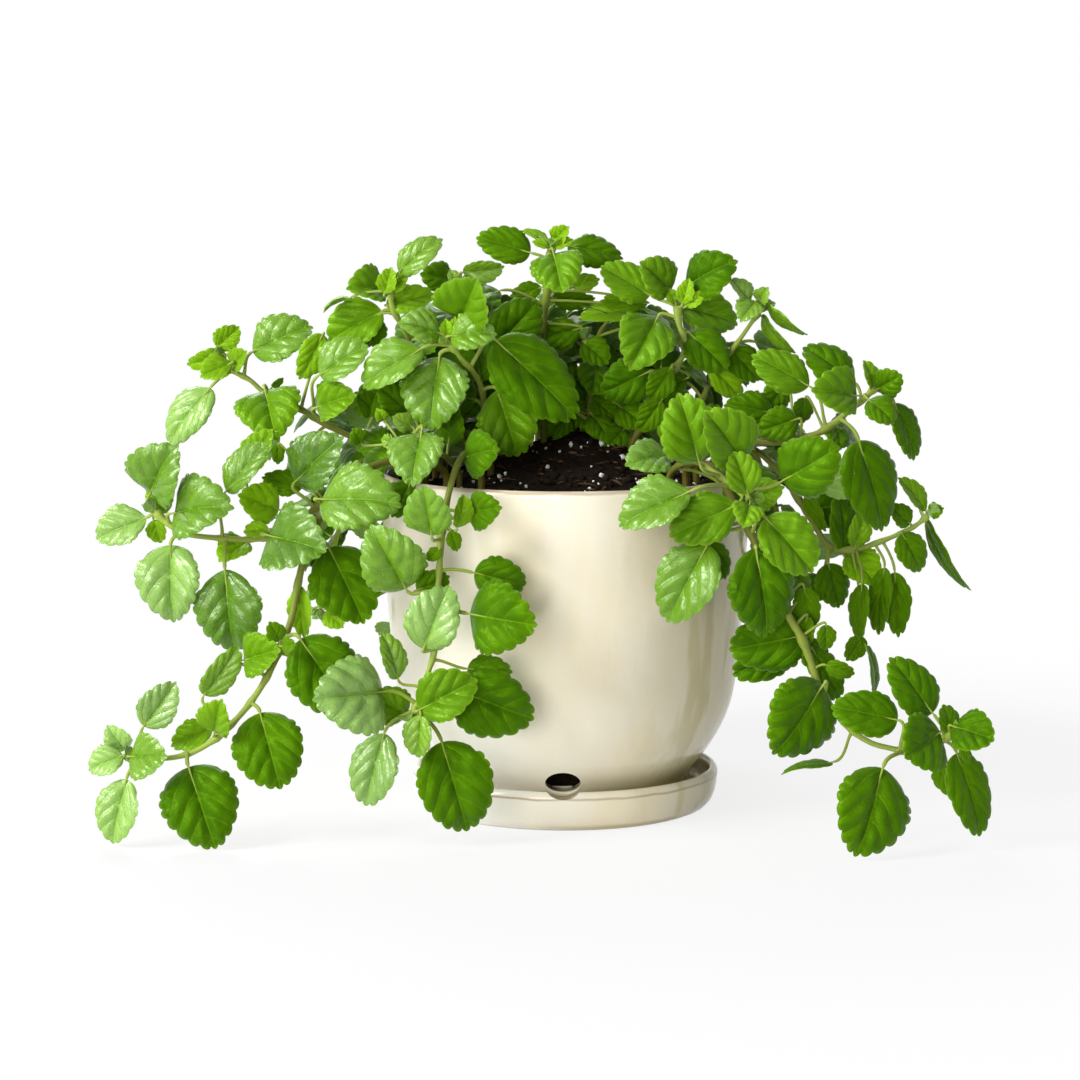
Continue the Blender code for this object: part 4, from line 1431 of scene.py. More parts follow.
@dataclass
class LeafShape:
    """The form of a blade: its outline, its scalloped margin and its quilting.

    Heights are shares of half the blade's width, and a pair of values is the
    range that a blade's own value is drawn from. Rings are shares of the way
    from the blade's middle to its margin: on top, underneath, and how much of
    the quilting shows.
    """

    centre: float = 0.405
    base_power: float = 1.80
    tip_power: float = 1.70
    toothed: float = 0.70 * math.pi
    tooth_depth: float = 0.062
    tooth_form: Row = (-0.62, 0.18, 0.50, 0.52, 0.22)
    tooth_counts: tuple[Row, ...] = ((7, 5), (11, 7), (16, 9), (24, 11), (31, 13))
    most_teeth: int = 15
    cup: float = 0.09
    fold: Row = (0.26, 0.54)
    shaded_fold: float = 0.45
    curl: Row = (0.04, 0.20)
    tip_bend: Row = (-0.14, 0.04)
    wave: Row = (0.02, 0.06)
    pillow: float = 0.070
    dent: float = 0.010
    groove: float = 0.050
    thickness: float = 0.42 * MM
    floor_gap: float = 0.35 * MM
    plain_width: float = 13.0 * MM
    full_rings: tuple[Any, ...] = (
        (0.10, 0.21, 0.33, 0.45, 0.57, 0.69, 0.80, 0.91, 1.0), (0.30, 0.62, 0.88, 1.0), 1.0,
    )
    plain_rings: tuple[Any, ...] = ((0.26, 0.52, 0.78, 1.0), (0.52, 1.0), 0.5)

    def outline(self, blade: Blade, chance: random.Random) -> tuple[np.ndarray, np.ndarray]:
        """Returns the smooth outline and the scallops of a blade.

        Args:
            blade: The blade.
            chance: The source of its unevenness.

        Returns:
            The outline's (along, side) at each spoke, and the share by which each
            spoke is longer or shorter there.
        """
        counts = [count for limit, count in self.tooth_counts if blade.width < limit * MM]
        per_tooth = len(self.tooth_form)
        teeth = per_tooth * (counts + [self.most_teeth])[0]
        toothed = np.linspace(-self.toothed, self.toothed, teeth + 1)
        smooth = np.linspace(self.toothed, math.tau - self.toothed, 11)[1:-1]
        angles = np.concatenate((toothed, smooth))
        cosine, sine = np.cos(angles), np.sin(angles)
        tip_power = self.tip_power * chance.uniform(0.92, 1.10)
        base_power = self.base_power * chance.uniform(0.82, 1.22)
        power = np.where(cosine > 0, 2 / tip_power, 2 / base_power)
        reach = np.where(cosine > 0, 1 - self.centre, self.centre) * blade.length
        along = self.centre * blade.length + np.sign(cosine) * np.abs(cosine) ** power * reach
        lopsided = 1.0 + chance.uniform(-0.05, 0.05) * np.sign(sine)
        side = np.sign(sine) * np.abs(sine) ** power * 0.5 * blade.width * lopsided
        scallop = np.zeros(len(angles))
        for first in range(0, teeth, per_tooth):
            form = np.array(self.tooth_form) * chance.uniform(0.70, 1.25)
            if angles[first] >= 0:
                form[1:] = form[:0:-1].copy()
            scallop[first:first + per_tooth] = form
        scallop[teeth] = self.tooth_form[0]
        depth = self.tooth_depth * (1.0 + 0.6 * blade.youth)
        return np.column_stack((along, side)), scallop * depth

    def relief(
        self, blade: Blade, along: np.ndarray, side: np.ndarray, share: np.ndarray, quilted: float,
        chance: random.Random,
    ) -> np.ndarray:
        """Returns how far each point stands above the flat blade.

        Args:
            blade: The blade.
            along: Distance along the midrib of each point.
            side: Distance from the midrib of each point.
            share: How near each point is to the margin, from 0 to 1.
            quilted: How much of the quilting shows, 1 on top and 0 underneath.
            chance: The source of the blade's unevenness.

        Returns:
            The heights.
        """
        length, half = blade.length, 0.5 * blade.width
        run, off = along / length, np.abs(side) / half
        height = GROWTH.droop * (along - length * run**2) - self.cup * side**2 / half
        fold = chance.uniform(*self.fold) + 0.10 * blade.youth
        if blade.shade is Shade.DARK:
            fold *= self.shaded_fold
        height += fold * half * off * np.clip(run * 5, 0.0, 1.0)
        height -= chance.uniform(*self.curl) * half * share**4
        height += chance.uniform(*self.tip_bend) * length * np.clip(run - 0.5, 0.0, 1.0) ** 2 * 2
        turn = chance.choice((2, 3)) * np.arctan2(side, along - self.centre * length)
        height += chance.uniform(*self.wave) * half * share**3 * np.sin(turn + chance.uniform(0, math.tau))
        row = (run - VEINS.lean * off - VEINS.arch * off**2 - VEINS.first) / VEINS.gap
        swell = np.abs(np.sin(math.pi * row)) ** 0.8
        swell *= 1.0 + 0.12 * np.sin(17.0 * off + 3.0 * np.floor(row) + chance.uniform(0, math.tau))
        room = np.clip(off / 0.20, 0.0, 1.0) * (1 - np.clip((share - 0.84) / 0.16, 0.0, 1.0))
        height += self.pillow * half * swell * room * quilted
        for _ in range(3):
            way = chance.uniform(0.0, math.tau)
            span = chance.uniform(0.22, 0.40) * blade.width
            phase = (along * math.cos(way) + side * math.sin(way)) / span * math.tau
            height += self.dent * half * np.sin(phase + chance.uniform(0, math.tau)) * room
        groove = np.exp(-((side / (0.050 * blade.width)) ** 2)) * (1 - 0.6 * np.clip(run, 0, 1))
        return height - self.groove * half * groove * np.clip(run * 8, 0.0, 1.0)

    def add(self, shells: Shells, blade: Blade, chance: random.Random) -> None:
        """Adds a blade as one thin closed shell.

        Args:
            shells: The stem's shells.
            blade: The blade.
            chance: The source of its unevenness.
        """
        rim, scallop = self.outline(blade, chance)
        seed = chance.random()
        middle = np.array((self.centre * blade.length, 0.0))
        spokes = len(rim)
        plain = blade.plain or blade.width < self.plain_width
        top, under, quilting = self.plain_rings if plain else self.full_rings
        up = square_to(blade.face, blade.midrib)
        directions = np.array((blade.midrib, blade.midrib.cross(up), up))
        look = LOOKS[blade.shade]
        tone = chance.uniform(look.low, look.high)
        youth = min(0.85, (blade.youth + 0.1) * look.freshness)
        solid, marks, tones, faces, rims, first = [], [], [], [], [], 0
        for below, (rings, sink, quilted) in enumerate(((top, 0.0, quilting), (under, self.thickness, 0.0))):
            flat, shares = [middle[None, :]], [np.zeros(1)]
            for share in rings:
                stretch = share * (1.0 + scallop * share**5)
                flat.append(middle + (rim - middle) * stretch[:, None])
                shares.append(np.full(spokes, share))
            along, side = np.vstack(flat).T
            share = np.concatenate(shares)
            height = self.relief(blade, along, side, share, quilted, random.Random(seed))
            height -= sink * (1.0 - 0.35 * share)
            places = np.array(blade.base) + np.column_stack((along, side, height)) @ directions
            places[:, 2] = np.maximum(places[:, 2], self.floor_gap)
            solid.append(places)
            marks.append(np.column_stack((along / blade.length, 0.5 + side / blade.width)))
            even = np.ones(len(share))
            tones.append(np.column_stack((even * tone, even * below, even * youth, share)))
            faces += self.sheet_faces(spokes, len(rings), first, bool(below))
            first += len(share)
            rims.append(first - spokes)
        faces += band(*rims, spokes)
        shells.add(np.vstack(solid), faces, look.skin.value, np.vstack(tones), np.vstack(marks))

    @staticmethod
    def sheet_faces(spokes: int, rings: int, first: int, below: bool) -> Faces:
        """Returns the faces of one side of a blade.

        Args:
            spokes: How many spokes each ring has.
            rings: How many rings there are.
            first: The number of the sheet's middle vertex.
            below: Whether this is the underside, whose faces turn the other way.

        Returns:
            The faces.
        """
        ring = first + 1
        faces = [(first, ring + (spoke + 1) % spokes, ring + spoke) for spoke in range(spokes)]
        for near in range(ring, ring + (rings - 1) * spokes, spokes):
            faces += band(near, near + spokes, spokes)
        return [face[::-1] for face in faces] if below else faces


@dataclass
class Infill:
    """The inner leaves that fill the crown, always behind the leaves in front, with painted shade in their
    dark tone and finish.
    """

    spacing: float = 8.4 * MM
    sizes: Row = (15.0, 28.0)
    reaches: Row = (6.0, 11.0, 16.0, 22.0)
    crown: Colour = (0.150, 0.125, 0.134)
    crown_height: float = 0.112
    soil_window: Row = (-0.058, 0.056, 0.178)
    pot_room: Row = (0.095, 0.165)
    back: float = 0.03
    lowest_front: float = 0.112
    lowest_back: float = 0.060
    most_forward: float = -0.062
    apart: float = 0.25

    def fits(self, blade: Blade, taken: Sequence[Blade], placed: Sequence[Blade]) -> bool:
        """Tells whether a leaf lies within the crown and clear of the others.

        Args:
            blade: The leaf to try.
            taken: The leaves that stay in view.
            placed: The inner leaves so far.

        Returns:
            Whether the leaf may be added.
        """
        middle = blade.middle
        wide, deep, high = self.crown
        left, right, top = self.soil_window
        pot_radius, pot_height = self.pot_room
        for place in (middle, blade.tip):
            rise = max(0.0, (place.z - self.crown_height) / high)
            if (
                (place.x / wide) ** 2 + (place.y / deep) ** 2 + rise**2 > 1.0
                or place.z < (self.lowest_back if place.y > self.back else self.lowest_front)
                or place.y < 0.0 and left < place.x < right and place.z < top
                or place.y < self.most_forward
                or place.xy.length < pot_radius and place.z < pot_height
            ):
                return False
        for other in taken:
            core, room = other.middle, 0.5 * (other.width + blade.width)
            if (core - middle).length < self.apart * 2 * room:
                return False
            across = math.hypot(core.x - middle.x, core.z - middle.z)
            if across < 0.9 * room and middle.y < core.y + 5 * MM and core.y < 0.04:
                return False
        return all(
            (other.middle - middle).length >= self.apart * (other.width + blade.width) for other in placed
        )

    def leaves(
        self, grown: Stem, taken: Sequence[Blade], placed: list[Blade], chance: random.Random
    ) -> list[Blade]:
        """Grows pairs of inner leaves along a stem.

        Args:
            grown: The stem.
            taken: The leaves that stay in view.
            placed: The inner leaves so far, which grow by these.
            chance: The source of their spread.

        Returns:
            The stem's inner leaves.
        """
        line = smooth_line([tuple(place) for place in grown.route[1:]], 8)
        steps = np.linalg.norm(np.diff(line, axis=0), axis=1)
        run = np.concatenate(([0.0], np.cumsum(steps)))
        found = []
        for number, at in enumerate(np.arange(0.12 * run[-1], 0.97 * run[-1], self.spacing)):
            here, later = [
                Vector([float(np.interp(length, run, line[:, axis])) for axis in range(3)])
                for length in (at, at + MM)
            ]
            ahead = (later - here).normalized()
            side = ahead.cross(Vector((0.1, 0.2, 1.0))).normalized()
            outward = Vector((here.x, here.y, 0.02)).normalized()
            for turn in (90.0 * number, 90.0 * number + 180.0):
                bearing = math.radians(turn + chance.uniform(-35, 35))
                for reach in self.reaches:
                    way = Matrix.Rotation(bearing, 3, ahead) @ side
                    way = (way + outward * 0.45 + Vector((0, 0, chance.uniform(-0.1, 0.4)))).normalized()
                    width = chance.uniform(*self.sizes) * MM
                    fall = (way + Vector((0, 0, chance.uniform(-0.6, 0.05)))).normalized()
                    face = Vector((chance.uniform(-0.3, 0.3), chance.uniform(-0.5, 0.1), 0.8)) + outward
                    # Inner leaves take the dark tone and the shaded finish: painted shade.
                    inner = hung(
                        here + way * reach * MM, fall, width, face, anchor=here, shade=Shade.DARK, plain=True
                    )
                    if self.fits(inner, taken, placed):
                        found.append(inner)
                        placed.append(inner)
                        break
        return found


@dataclass
class Foliage:
    """The whole plant, one piece for each rooted stem."""

    soil: Soil
    socket_depth: float = 7.0 * MM
    foot_gap: float = 0.3 * MM
    stem_sides: int = 12
    petiole_sides: int = 8
    taper: float = 0.42
    knee: Row = (0.22, 2.2 * MM, 1.3)
    petiole_size: Row = (0.46 * MM, 0.0145)
    rib_places: Row = (0.12, 0.30, 0.55)
    outward_turn: float = 0.18
    half_width: float = 0.13
    unrest: float = 0.14
    bud_pairs: tuple[Row, ...] = ((6.5, 0.95), (4.2, 0.55))
    shape: LeafShape = field(default_factory=LeafShape)
    infill: Infill = field(default_factory=Infill)

    @staticmethod
    def wooden(
        shells: Shells, line: np.ndarray, radii: np.ndarray, sides: int, fresh: np.ndarray,
        chance: random.Random, square: float = 0.0,
    ) -> None:
        """Adds a tube of wood.

        Args:
            shells: The stem's shells.
            line: The centre line's points.
            radii: The radius at each point.
            sides: How many sides the tube has.
            fresh: How green the wood is at each point, from 0 to 1.
            chance: The source of its tone.
            square: How far its section bulges at four corners, as a share.
        """
        green = np.repeat(fresh, sides)
        even = np.ones(len(green))
        tone = np.column_stack((even * chance.random(), green, even * 0.0, even))
        shells.add(*tube(line, radii, sides, square), Skin.WOOD.value, tone)

    def wood(
        self, shells: Shells, grown: Stem, anchors: Sequence[Vector], chance: random.Random
    ) -> None:
        """Adds a stem's wood, a little square, with a knee at each pair of leaves.

        Args:
            shells: The stem's shells.
            grown: The stem.
            anchors: Where petioles start.
            chance: The source of its unevenness.
        """
        line = smooth_line([tuple(place) for place in grown.route], 7)
        shares = np.linspace(0.0, 1.0, len(line))
        radii = grown.radius * (1.0 - self.taper * shares)
        swell, reach, most = self.knee
        for anchor in anchors:
            away = np.linalg.norm(line - np.array(anchor), axis=1)
            radii += swell * grown.radius * np.exp(-((away / reach) ** 2))
        radii = np.minimum(radii, grown.radius * most)
        radii[-1] *= 0.7
        fresh = np.clip(shares * 1.25 - 0.12, 0.0, 1.0)
        self.wooden(shells, line, radii, self.stem_sides, fresh, chance, 0.05)

    def petiole(self, shells: Shells, blade: Blade, chance: random.Random) -> None:
        """Adds a petiole that runs on as the rib under the blade.

        Args:
            shells: The stem's shells.
            blade: The blade that it carries.
            chance: The source of its bend.
        """
        start, base = np.array(blade.anchor), np.array(blade.base)
        midrib, up = np.array(blade.midrib), np.array(blade.face)
        length = blade.length
        far = np.linalg.norm(base - start)
        rise = np.array((0.0, 0.0, chance.uniform(0.02, 0.12) * far))
        least, more = self.petiole_size
        size = least + more * blade.width
        first = start + 0.36 * (base - start) + rise
        second = base - midrib * min(0.38 * far, 0.30 * length) - up * 0.4 * size
        shares = np.linspace(0.0, 1.0, 13)[:, None]
        curve = (
            start * (1 - shares) ** 3 + first * 3 * shares * (1 - shares) ** 2
            + second * 3 * shares**2 * (1 - shares) + (base - up * 0.2 * size) * shares**3
        )
        rib = []
        for share in self.rib_places:
            high = GROWTH.droop * length * (share - share**2)
            high -= 0.020 * blade.width * (1 - 0.6 * share) + 0.85 * self.shape.thickness
            rib.append(base + midrib * share * length + up * high)
        line = np.vstack((curve, rib))
        line[:, 2] = np.maximum(line[:, 2], size)
        radii = size * np.concatenate((
            np.linspace(1.35, 1.0, 4), np.ones(len(curve) - 6), (0.95, 0.55, 0.42, 0.30, 0.12),
        ))
        self.wooden(shells, line, radii, self.petiole_sides, np.linspace(0.75, 1.0, len(line)), chance)

    def bud(self, grown: Stem, chance: random.Random) -> list[Blade]:
        """Makes the pairs of leaves that unfold at a stem's end.

        Args:
            grown: The stem.
            chance: The source of their spread.

        Returns:
            The smallest leaves.
        """
        end = grown.route[-1]
        ahead = (end - grown.route[-2]).normalized()
        aside = ahead.cross(Vector((0.3, 0.2, 1.0))).normalized()
        leaves = []
        for pair, (width, spread) in enumerate(self.bud_pairs):
            side = Matrix.Rotation(math.radians(90.0 * pair + chance.uniform(-20, 20)), 3, ahead) @ aside
            for way in (-1.0, 1.0):
                lean = (ahead + side * way * spread + Vector((0, 0, 0.25))).normalized()
                base = end + ahead * (0.5 + pair) * MM + side * way * 0.5 * MM
                tip = base + lean * width * 1.15 * MM
                # Young leaves take the light tone and the sunlit finish, partly their own pale colour and
                # partly painted light.
                leaves.append(Blade(base, tip, width * MM, square_to(ahead, lean), end, shade=Shade.LIGHT))
        return leaves

    def settle(self, grown: Stem) -> None:
        """Puts a stem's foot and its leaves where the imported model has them.

        Args:
            grown: The stem as planned.
        """
        foot = grown.route[0]
        foot.z = self.soil.height(math.hypot(foot.x, foot.y)) - self.socket_depth + self.foot_gap
        packed = PackedLeaves(grown.name)
        settled = [packed.settle(planned, grown.route) for planned in grown.blades]
        grown.blades = [blade for blade in settled if blade is not None]
        logger.info("%s: %d of %d planned leaves", grown.name, len(grown.blades), len(settled))
        for sprout in grown.sprouts:
            sprout.anchor = anchor_on(grown.route, sprout.base)
        for blade in grown.blades:
            blade.tip = blade.base + (blade.tip - blade.base) * blade.grow + blade.move
            blade.base = blade.base + blade.move
            blade.width *= blade.grow

    def turn_out(self, blade: Blade, chance: random.Random) -> None:
        """Turns a blade about its midrib, by its shade and its side of the plant.

        Args:
            blade: The blade.
            chance: The source of its unrest.
        """
        share = max(-1.0, min(1.0, blade.base.x / self.half_width))
        nudge = Vector([chance.uniform(-self.unrest, self.unrest) for _ in range(3)])
        face = blade.face + Vector((self.outward_turn * share, 0.0, 0.0)) + nudge
        face = square_to(face + Vector(LOOKS[blade.shade].turn), blade.midrib)
        blade.face = Matrix.Rotation(blade.twist, 3, blade.midrib) @ face

    def grow(
        self, grown: Stem, inner: Sequence[Blade], seed: int, materials: Sequence[Material]
    ) -> None:
        """Builds one stem with its leaves.

        Args:
            grown: The stem, settled.
            inner: Its inner leaves.
            seed: The seed of its unevenness.
            materials: The blades' materials and the wood's, in the order of Skin.
        """
        chance = random.Random(1000 + seed)
        shells = Shells()
        blades = grown.blades + grown.sprouts + list(inner)
        self.wood(shells, grown, [blade.anchor for blade in blades], chance)
        for blade in blades:
            self.turn_out(blade, chance)
            self.petiole(shells, blade, chance)
            self.shape.add(shells, blade, chance)
        for blade in self.bud(grown, chance):
            self.shape.add(shells, blade, chance)
        show(shells.mesh(grown.name + "_foliage", materials), Slot.FOLIAGE, grown.name)

    def build(self, mottle: NodeGroup) -> None:
        """Builds every stem.

        Args:
            mottle: The shared uneven cloud.
        """
        veins = blade_group()
        materials = [finish.make(mottle, veins) for finish in BLADE_FINISHES.values()]
        materials.append(WoodFinish().make(mottle))
        stems = [*front_stems(), *back_stems(self.soil)]
        for grown in stems:
            self.settle(grown)
        taken = [blade for grown in stems for blade in grown.blades + grown.sprouts]
        placed: list[Blade] = []
        chance = random.Random(77)
        inner = [self.infill.leaves(grown, taken, placed, chance) for grown in stems]
        logger.info("inner leaves: %d", len(placed))
        for seed, (grown, filling) in enumerate(zip(stems, inner)):
            self.grow(grown, filling, seed, materials)


# --------------------------------------------- the stem plan


def front_stems() -> Iterator[Stem]:
    """Gives the stems at the front, the sides and the top, placed one by one.

    Returns:
        The stems, one after the other.
    """
    # Each stem's letters set its leaves' tones and finishes, which paint light and shade into them.
    yield stem("front_left_trailer", 1.7, "lmddldpddlpmmddplddd", (
        (-38, -44, 144), (-38, -44, 158), (-42, -58, 168), (-47, -74, 166), (-51, -86, 154),
        (-54, -92, 138), (-55, -96, 122), (-56, -98, 104), (-57, -99, 88), (-61, -99, 74),
        (-66, -100, 60),
    ), (
        leaf((-57, -104, 137), (-60, 158), 21, move=(-1, 0)), leaf((-47, -98, 140), (-44, 154), 10, 45),
        leaf((-43, -92, 146), (-30, 148), 17),
        leaf((-43, -68, 167), (-31, 170), 18, move=(-3, 0), grow=1.22),
        leaf((-69, -98, 113), (-83, 139), 28), leaf((-65, -92, 112), (-51, 118), 13),
        leaf((-61, -103, 88), (-51, 113), 22, move=(-1, 0), grow=1.08),
        leaf((-40, -94, 120), (-18, 115), 19, twist=20),
        leaf((-43, -98, 103), (-17, 99), 31, grow=1.05, twist=18),
        leaf((-73, -96, 74), (-79, 94), 14, 60, twist=-20),
        leaf((-77, -103, 68), (-105, 66), 34, move=(0, 2), grow=1.04, twist=-10),
        leaf((-68, -99, 58), (-80, 66), 14, move=(-1, 0), grow=1.25),
        leaf((-64, -106, 62), (-42, 74), 20, grow=1.12),
        leaf((-47, -97, 68), (-17, 56), 27, move=(-2, 2), grow=1.14, twist=15),
        leaf((-43, -92, 78), (-24, 77), 14), leaf((-77, -102, 51), (-85, 22), 20, move=(-2, 0), grow=1.08),
        leaf((-63, -107, 60), (-64, 42), 14), leaf((-54, -101, 47), (-43, 8), 33),
    ), (
        leaf((-50, -98, 139), (-47, 130), 7), leaf((-55, -98, 131), (-60, 126), 6),
    ))
    yield stem("right_rosette", 1.6, "mmmmmdllm", (
        (46, -50, 144), (46, -50, 158), (55, -64, 165), (64, -78, 162), (71, -88, 157),
        (77, -94, 154),
    ), (
        leaf((59, -92, 170), (51, 196), 25, move=(-2, -3), grow=1.1), leaf((76, -98, 168), (60, 189), 26),
        leaf((77, -102, 155), (71, 173), 16), leaf((81, -100, 153), (92, 158), 15),
        leaf((78, -104, 152), (75, 142), 14), leaf((91, -100, 160), (112, 173), 27),
        leaf((45, -84, 167), (26, 164), 20, move=(0, 3)), leaf((52, -92, 155), (22, 141), 24),
        leaf((72, -100, 150), (44, 137), 23),
    ))
    yield stem("lower_right_runner", 1.8, "lddmdddddddddddddddddddddd", (
        (54, -40, 144), (54, -40, 159), (62, -58, 163), (68, -76, 157), (73, -88, 147),
        (79, -93, 137), (83, -94, 127), (88, -94, 115), (95, -94, 102), (101, -94, 92),
        (105, -94, 82), (109, -95, 71), (115, -97, 61), (123, -99, 52), (131, -101, 47),
        (139, -103, 45), (147, -105, 44), (157, -108, 47), (165, -110, 53),
    ), (
        leaf((60, -100, 133), (43, 100), 27), leaf((61, -90, 133), (69, 117), 13),
        leaf((81, -100, 131), (87, 93), 31), leaf((85, -103, 145), (105, 122), 25),
        leaf((101, -88, 90), (71, 84), 25, move=(3, 2), grow=1.1),
        leaf((113, -101, 69), (94, 42), 31, move=(-2, 4), grow=1.12),
        leaf((144, -107, 53), (116, 59), 20, move=(-2, 5)),
        leaf((141, -108, 36), (130, -1), 36, move=(-6, 2)),
        leaf((161, -112, 52), (145, 42), 27, move=(-1, 2)),
        leaf((168, -114, 54), (184, 49), 20, move=(-4, 3)),
        leaf((166, -110, 55), (163, 65), 9, move=(-1, -2), grow=1.2),
        leaf((169, -112, 42), (180, 8), 20, move=(-1, 2), grow=1.06),
        leaf((161, -100, 37), (167, 23), 10, 50), leaf((157, -108, 61), (139, 85), 20),
        leaf((115, -98, 38), (93, 35), 12, 70, twist=-18), leaf((134, -90, 67), (131, 88), 12, 60),
        leaf((107, -86, 85), (117, 67), 12, grow=1.2),
    ), (
        leaf((169, -110, 47), (173, 40), 6), leaf((104, -84, 90), (112, 72), 14),
        leaf((112, -92, 97), (112, 86), 9), leaf((100, -80, 88), (73, 73), 20),
        leaf((103, -84, 112), (106, 92), 12, 30), leaf((99, -80, 120), (104, 104), 13, -20),
        leaf((100, -82, 104), (94, 88), 12), leaf((112, -96, 80), (124, 76), 8, 30),
        leaf((104, -88, 100), (100, 82), 11, 50),
    ))
    yield stem("lower_left_runner", 1.8, "ppplpddmflfdddfldd", (
        (-54, -50, 143), (-54, -50, 159), (-70, -62, 166), (-88, -70, 162), (-102, -74, 150),
        (-112, -77, 132), (-117, -78, 114), (-120, -82, 98), (-124, -86, 87), (-129, -89, 76),
        (-135, -90, 66), (-142, -90, 57), (-151, -90, 48), (-162, -90, 41), (-174, -90, 38),
        (-187, -90, 39),
    ), (
        leaf((-184, -90, 52), (-170, 71), 17, 25), leaf((-193, -92, 41), (-200, 52), 12),
        leaf((-193, -94, 40), (-208, 34), 14), leaf((-190, -96, 40), (-173, 41), 21),
        leaf((-191, -98, 30), (-198, 2), 20), leaf((-164, -98, 36), (-152, 1), 34),
        leaf((-133, -94, 59), (-124, 27), 31), leaf((-155, -82, 50), (-173, 42), 14),
        leaf((-153, -84, 48), (-149, 63), 17), leaf((-158, -86, 65), (-143, 86), 14, 40, twist=15),
        leaf((-142, -84, 80), (-128, 84), 16, grow=1.25), leaf((-124, -92, 90), (-128, 98), 9),
        leaf((-123, -92, 88), (-117, 89), 8), leaf((-115, -94, 91), (-96, 62), 29, grow=1.1),
        leaf((-117, -76, 112), (-115, 89), 11), leaf((-108, -84, 151), (-75, 150), 31, grow=1.06),
        leaf((-104, -71, 128), (-90, 98), 30, grow=1.1),
    ), (
        leaf((-80, -74, 60), (-85, 53), 6),
    ))
    yield stem("left_branch", 1.7, "lplpffggyylgdfdm", (
        (-64, -26, 144), (-64, -26, 161), (-80, -36, 164), (-96, -44, 156), (-112, -52, 142),
        (-126, -56, 133), (-140, -59, 130), (-155, -61, 131), (-168, -62, 133), (-176, -62, 138),
        (-181, -62, 143),
    ), (
        leaf((-183, -62, 150), (-172, 169), 26, move=(-1, -1), grow=1.08, twist=12),
        leaf((-185, -62, 140), (-207, 131), 19), leaf((-174, -68, 139), (-148, 143), 30, move=(0, 3.5)),
        leaf((-174, -66, 128), (-174, 94), 29), leaf((-183, -62, 139), (-180, 129), 9),
        leaf((-177, -68, 143), (-183, 154), 10, grow=1.2, twist=20), leaf((-150, -64, 117), (-147, 81), 31),
        leaf((-131, -74, 134), (-106, 128), 32), leaf((-141, -56, 129), (-153, 121), 15),
        leaf((-127, -50, 142), (-140, 147), 14, grow=1.3), leaf((-149, -58, 151), (-131, 172), 18),
        leaf((-120, -56, 155), (-102, 172), 23, grow=1.16), leaf((-117, -46, 152), (-135, 156), 12),
    ), (
        leaf((-131, -62, 135), (-142, 134), 8), leaf((-127, -56, 172), (-127, 163), 6),
        leaf((-141, -52, 160), (-130, 178), 15),
    ))
    yield stem("upper_left_branch", 1.6, "mlpfffmflmddd", (
        (-60, -10, 144), (-60, -10, 160), (-72, -20, 167), (-86, -26, 169), (-100, -28, 174),
        (-111, -28, 180), (-118, -26, 184), (-128, -24, 188), (-136, -22, 192), (-142, -20, 197),
        (-149, -20, 201), (-154, -20, 206),
    ), (
        leaf((-135, -30, 191), (-129, 169), 30, move=(0, 4)),
        leaf((-141, -20, 206), (-115, 218), 24, move=(0, 4)),
        leaf((-158, -24, 193), (-178, 168), 20, move=(-2, 1)),
        leaf((-157, -20, 212), (-147, 221), 12, twist=35),
        leaf((-154, -22, 209), (-170, 204), 10, twist=-30), leaf((-150, -26, 205), (-163, 199), 13),
        leaf((-150, -24, 203), (-143, 210), 11), leaf((-108, -40, 219), (-118, 199), 14, -30),
        leaf((-109, -50, 200), (-88, 213), 20, move=(0, 2)),
        leaf((-106, -44, 187), (-93, 191), 14, move=(-5, 0), grow=1.3),
    ), (
        leaf((-132, -22, 194), (-127, 198), 5, 60), leaf((-80, -38, 197), (-93, 183), 15),
        leaf((-68, -40, 199), (-80, 185), 15),
    ))
    yield stem("front_rosette", 1.6, "lllmldmff", (
        (-34, -24, 144), (-34, -24, 164), (-36, -32, 182), (-38, -40, 196), (-42, -46, 204),
        (-47, -51, 210), (-51, -54, 216),
    ), (
        leaf((-64, -56, 214), (-90, 198), 22), leaf((-56, -62, 212), (-60, 180), 31),
        leaf((-55, -60, 221), (-72, 226), 17), leaf((-49, -54, 228), (-41, 246), 27, move=(2, -3)),
        leaf((-51, -62, 220), (-31, 221), 18), leaf((-33, -46, 214), (2, 180), 32, move=(2, 3)),
        leaf((-32, -48, 193), (-23, 164), 27, move=(1.5, 2)),
    ), (
        leaf((-52, -58, 219), (-53, 227), 6), leaf((-50, -58, 219), (-49, 228), 5),
    ))
    yield stem("front_left_shoot", 1.5, "lddddml", (
        (-48, -38, 144), (-48, -38, 158), (-54, -50, 166), (-64, -60, 171), (-74, -64, 173),
    ), (
        leaf((-63, -76, 180), (-67, 157), 25), leaf((-70, -46, 186), (-82, 196), 16),
        leaf((-84, -36, 184), (-92, 191), 12), leaf((-68, -72, 157), (-76, 142), 16),
    ), (
        leaf((-90, -58, 172), (-93, 178), 9), leaf((-80, -56, 182), (-83, 187), 6),
        leaf((-68, -58, 180), (-76, 184), 9),
    ))
    yield stem("top_left_branch", 1.5, "lmmmfmdff", (
        (-44, -4, 144), (-44, -4, 165), (-54, -14, 186), (-64, -22, 205), (-72, -32, 220),
        (-77, -38, 231), (-78, -41, 239),
    ), (
        leaf((-74, -44, 247), (-56, 262), 15), leaf((-80, -46, 241), (-96, 241), 19),
        leaf((-80, -50, 238), (-77, 249), 9), leaf((-80, -44, 233), (-59, 238), 13),
        leaf((-95, -40, 236), (-108, 230), 10, 70), leaf((-83, -40, 229), (-105, 221), 14),
        leaf((-84, -34, 226), (-88, 213), 12),
    ), (
        leaf((-77, -42, 238), (-71, 246), 8), leaf((-82, -34, 229), (-106, 216), 22),
    ))
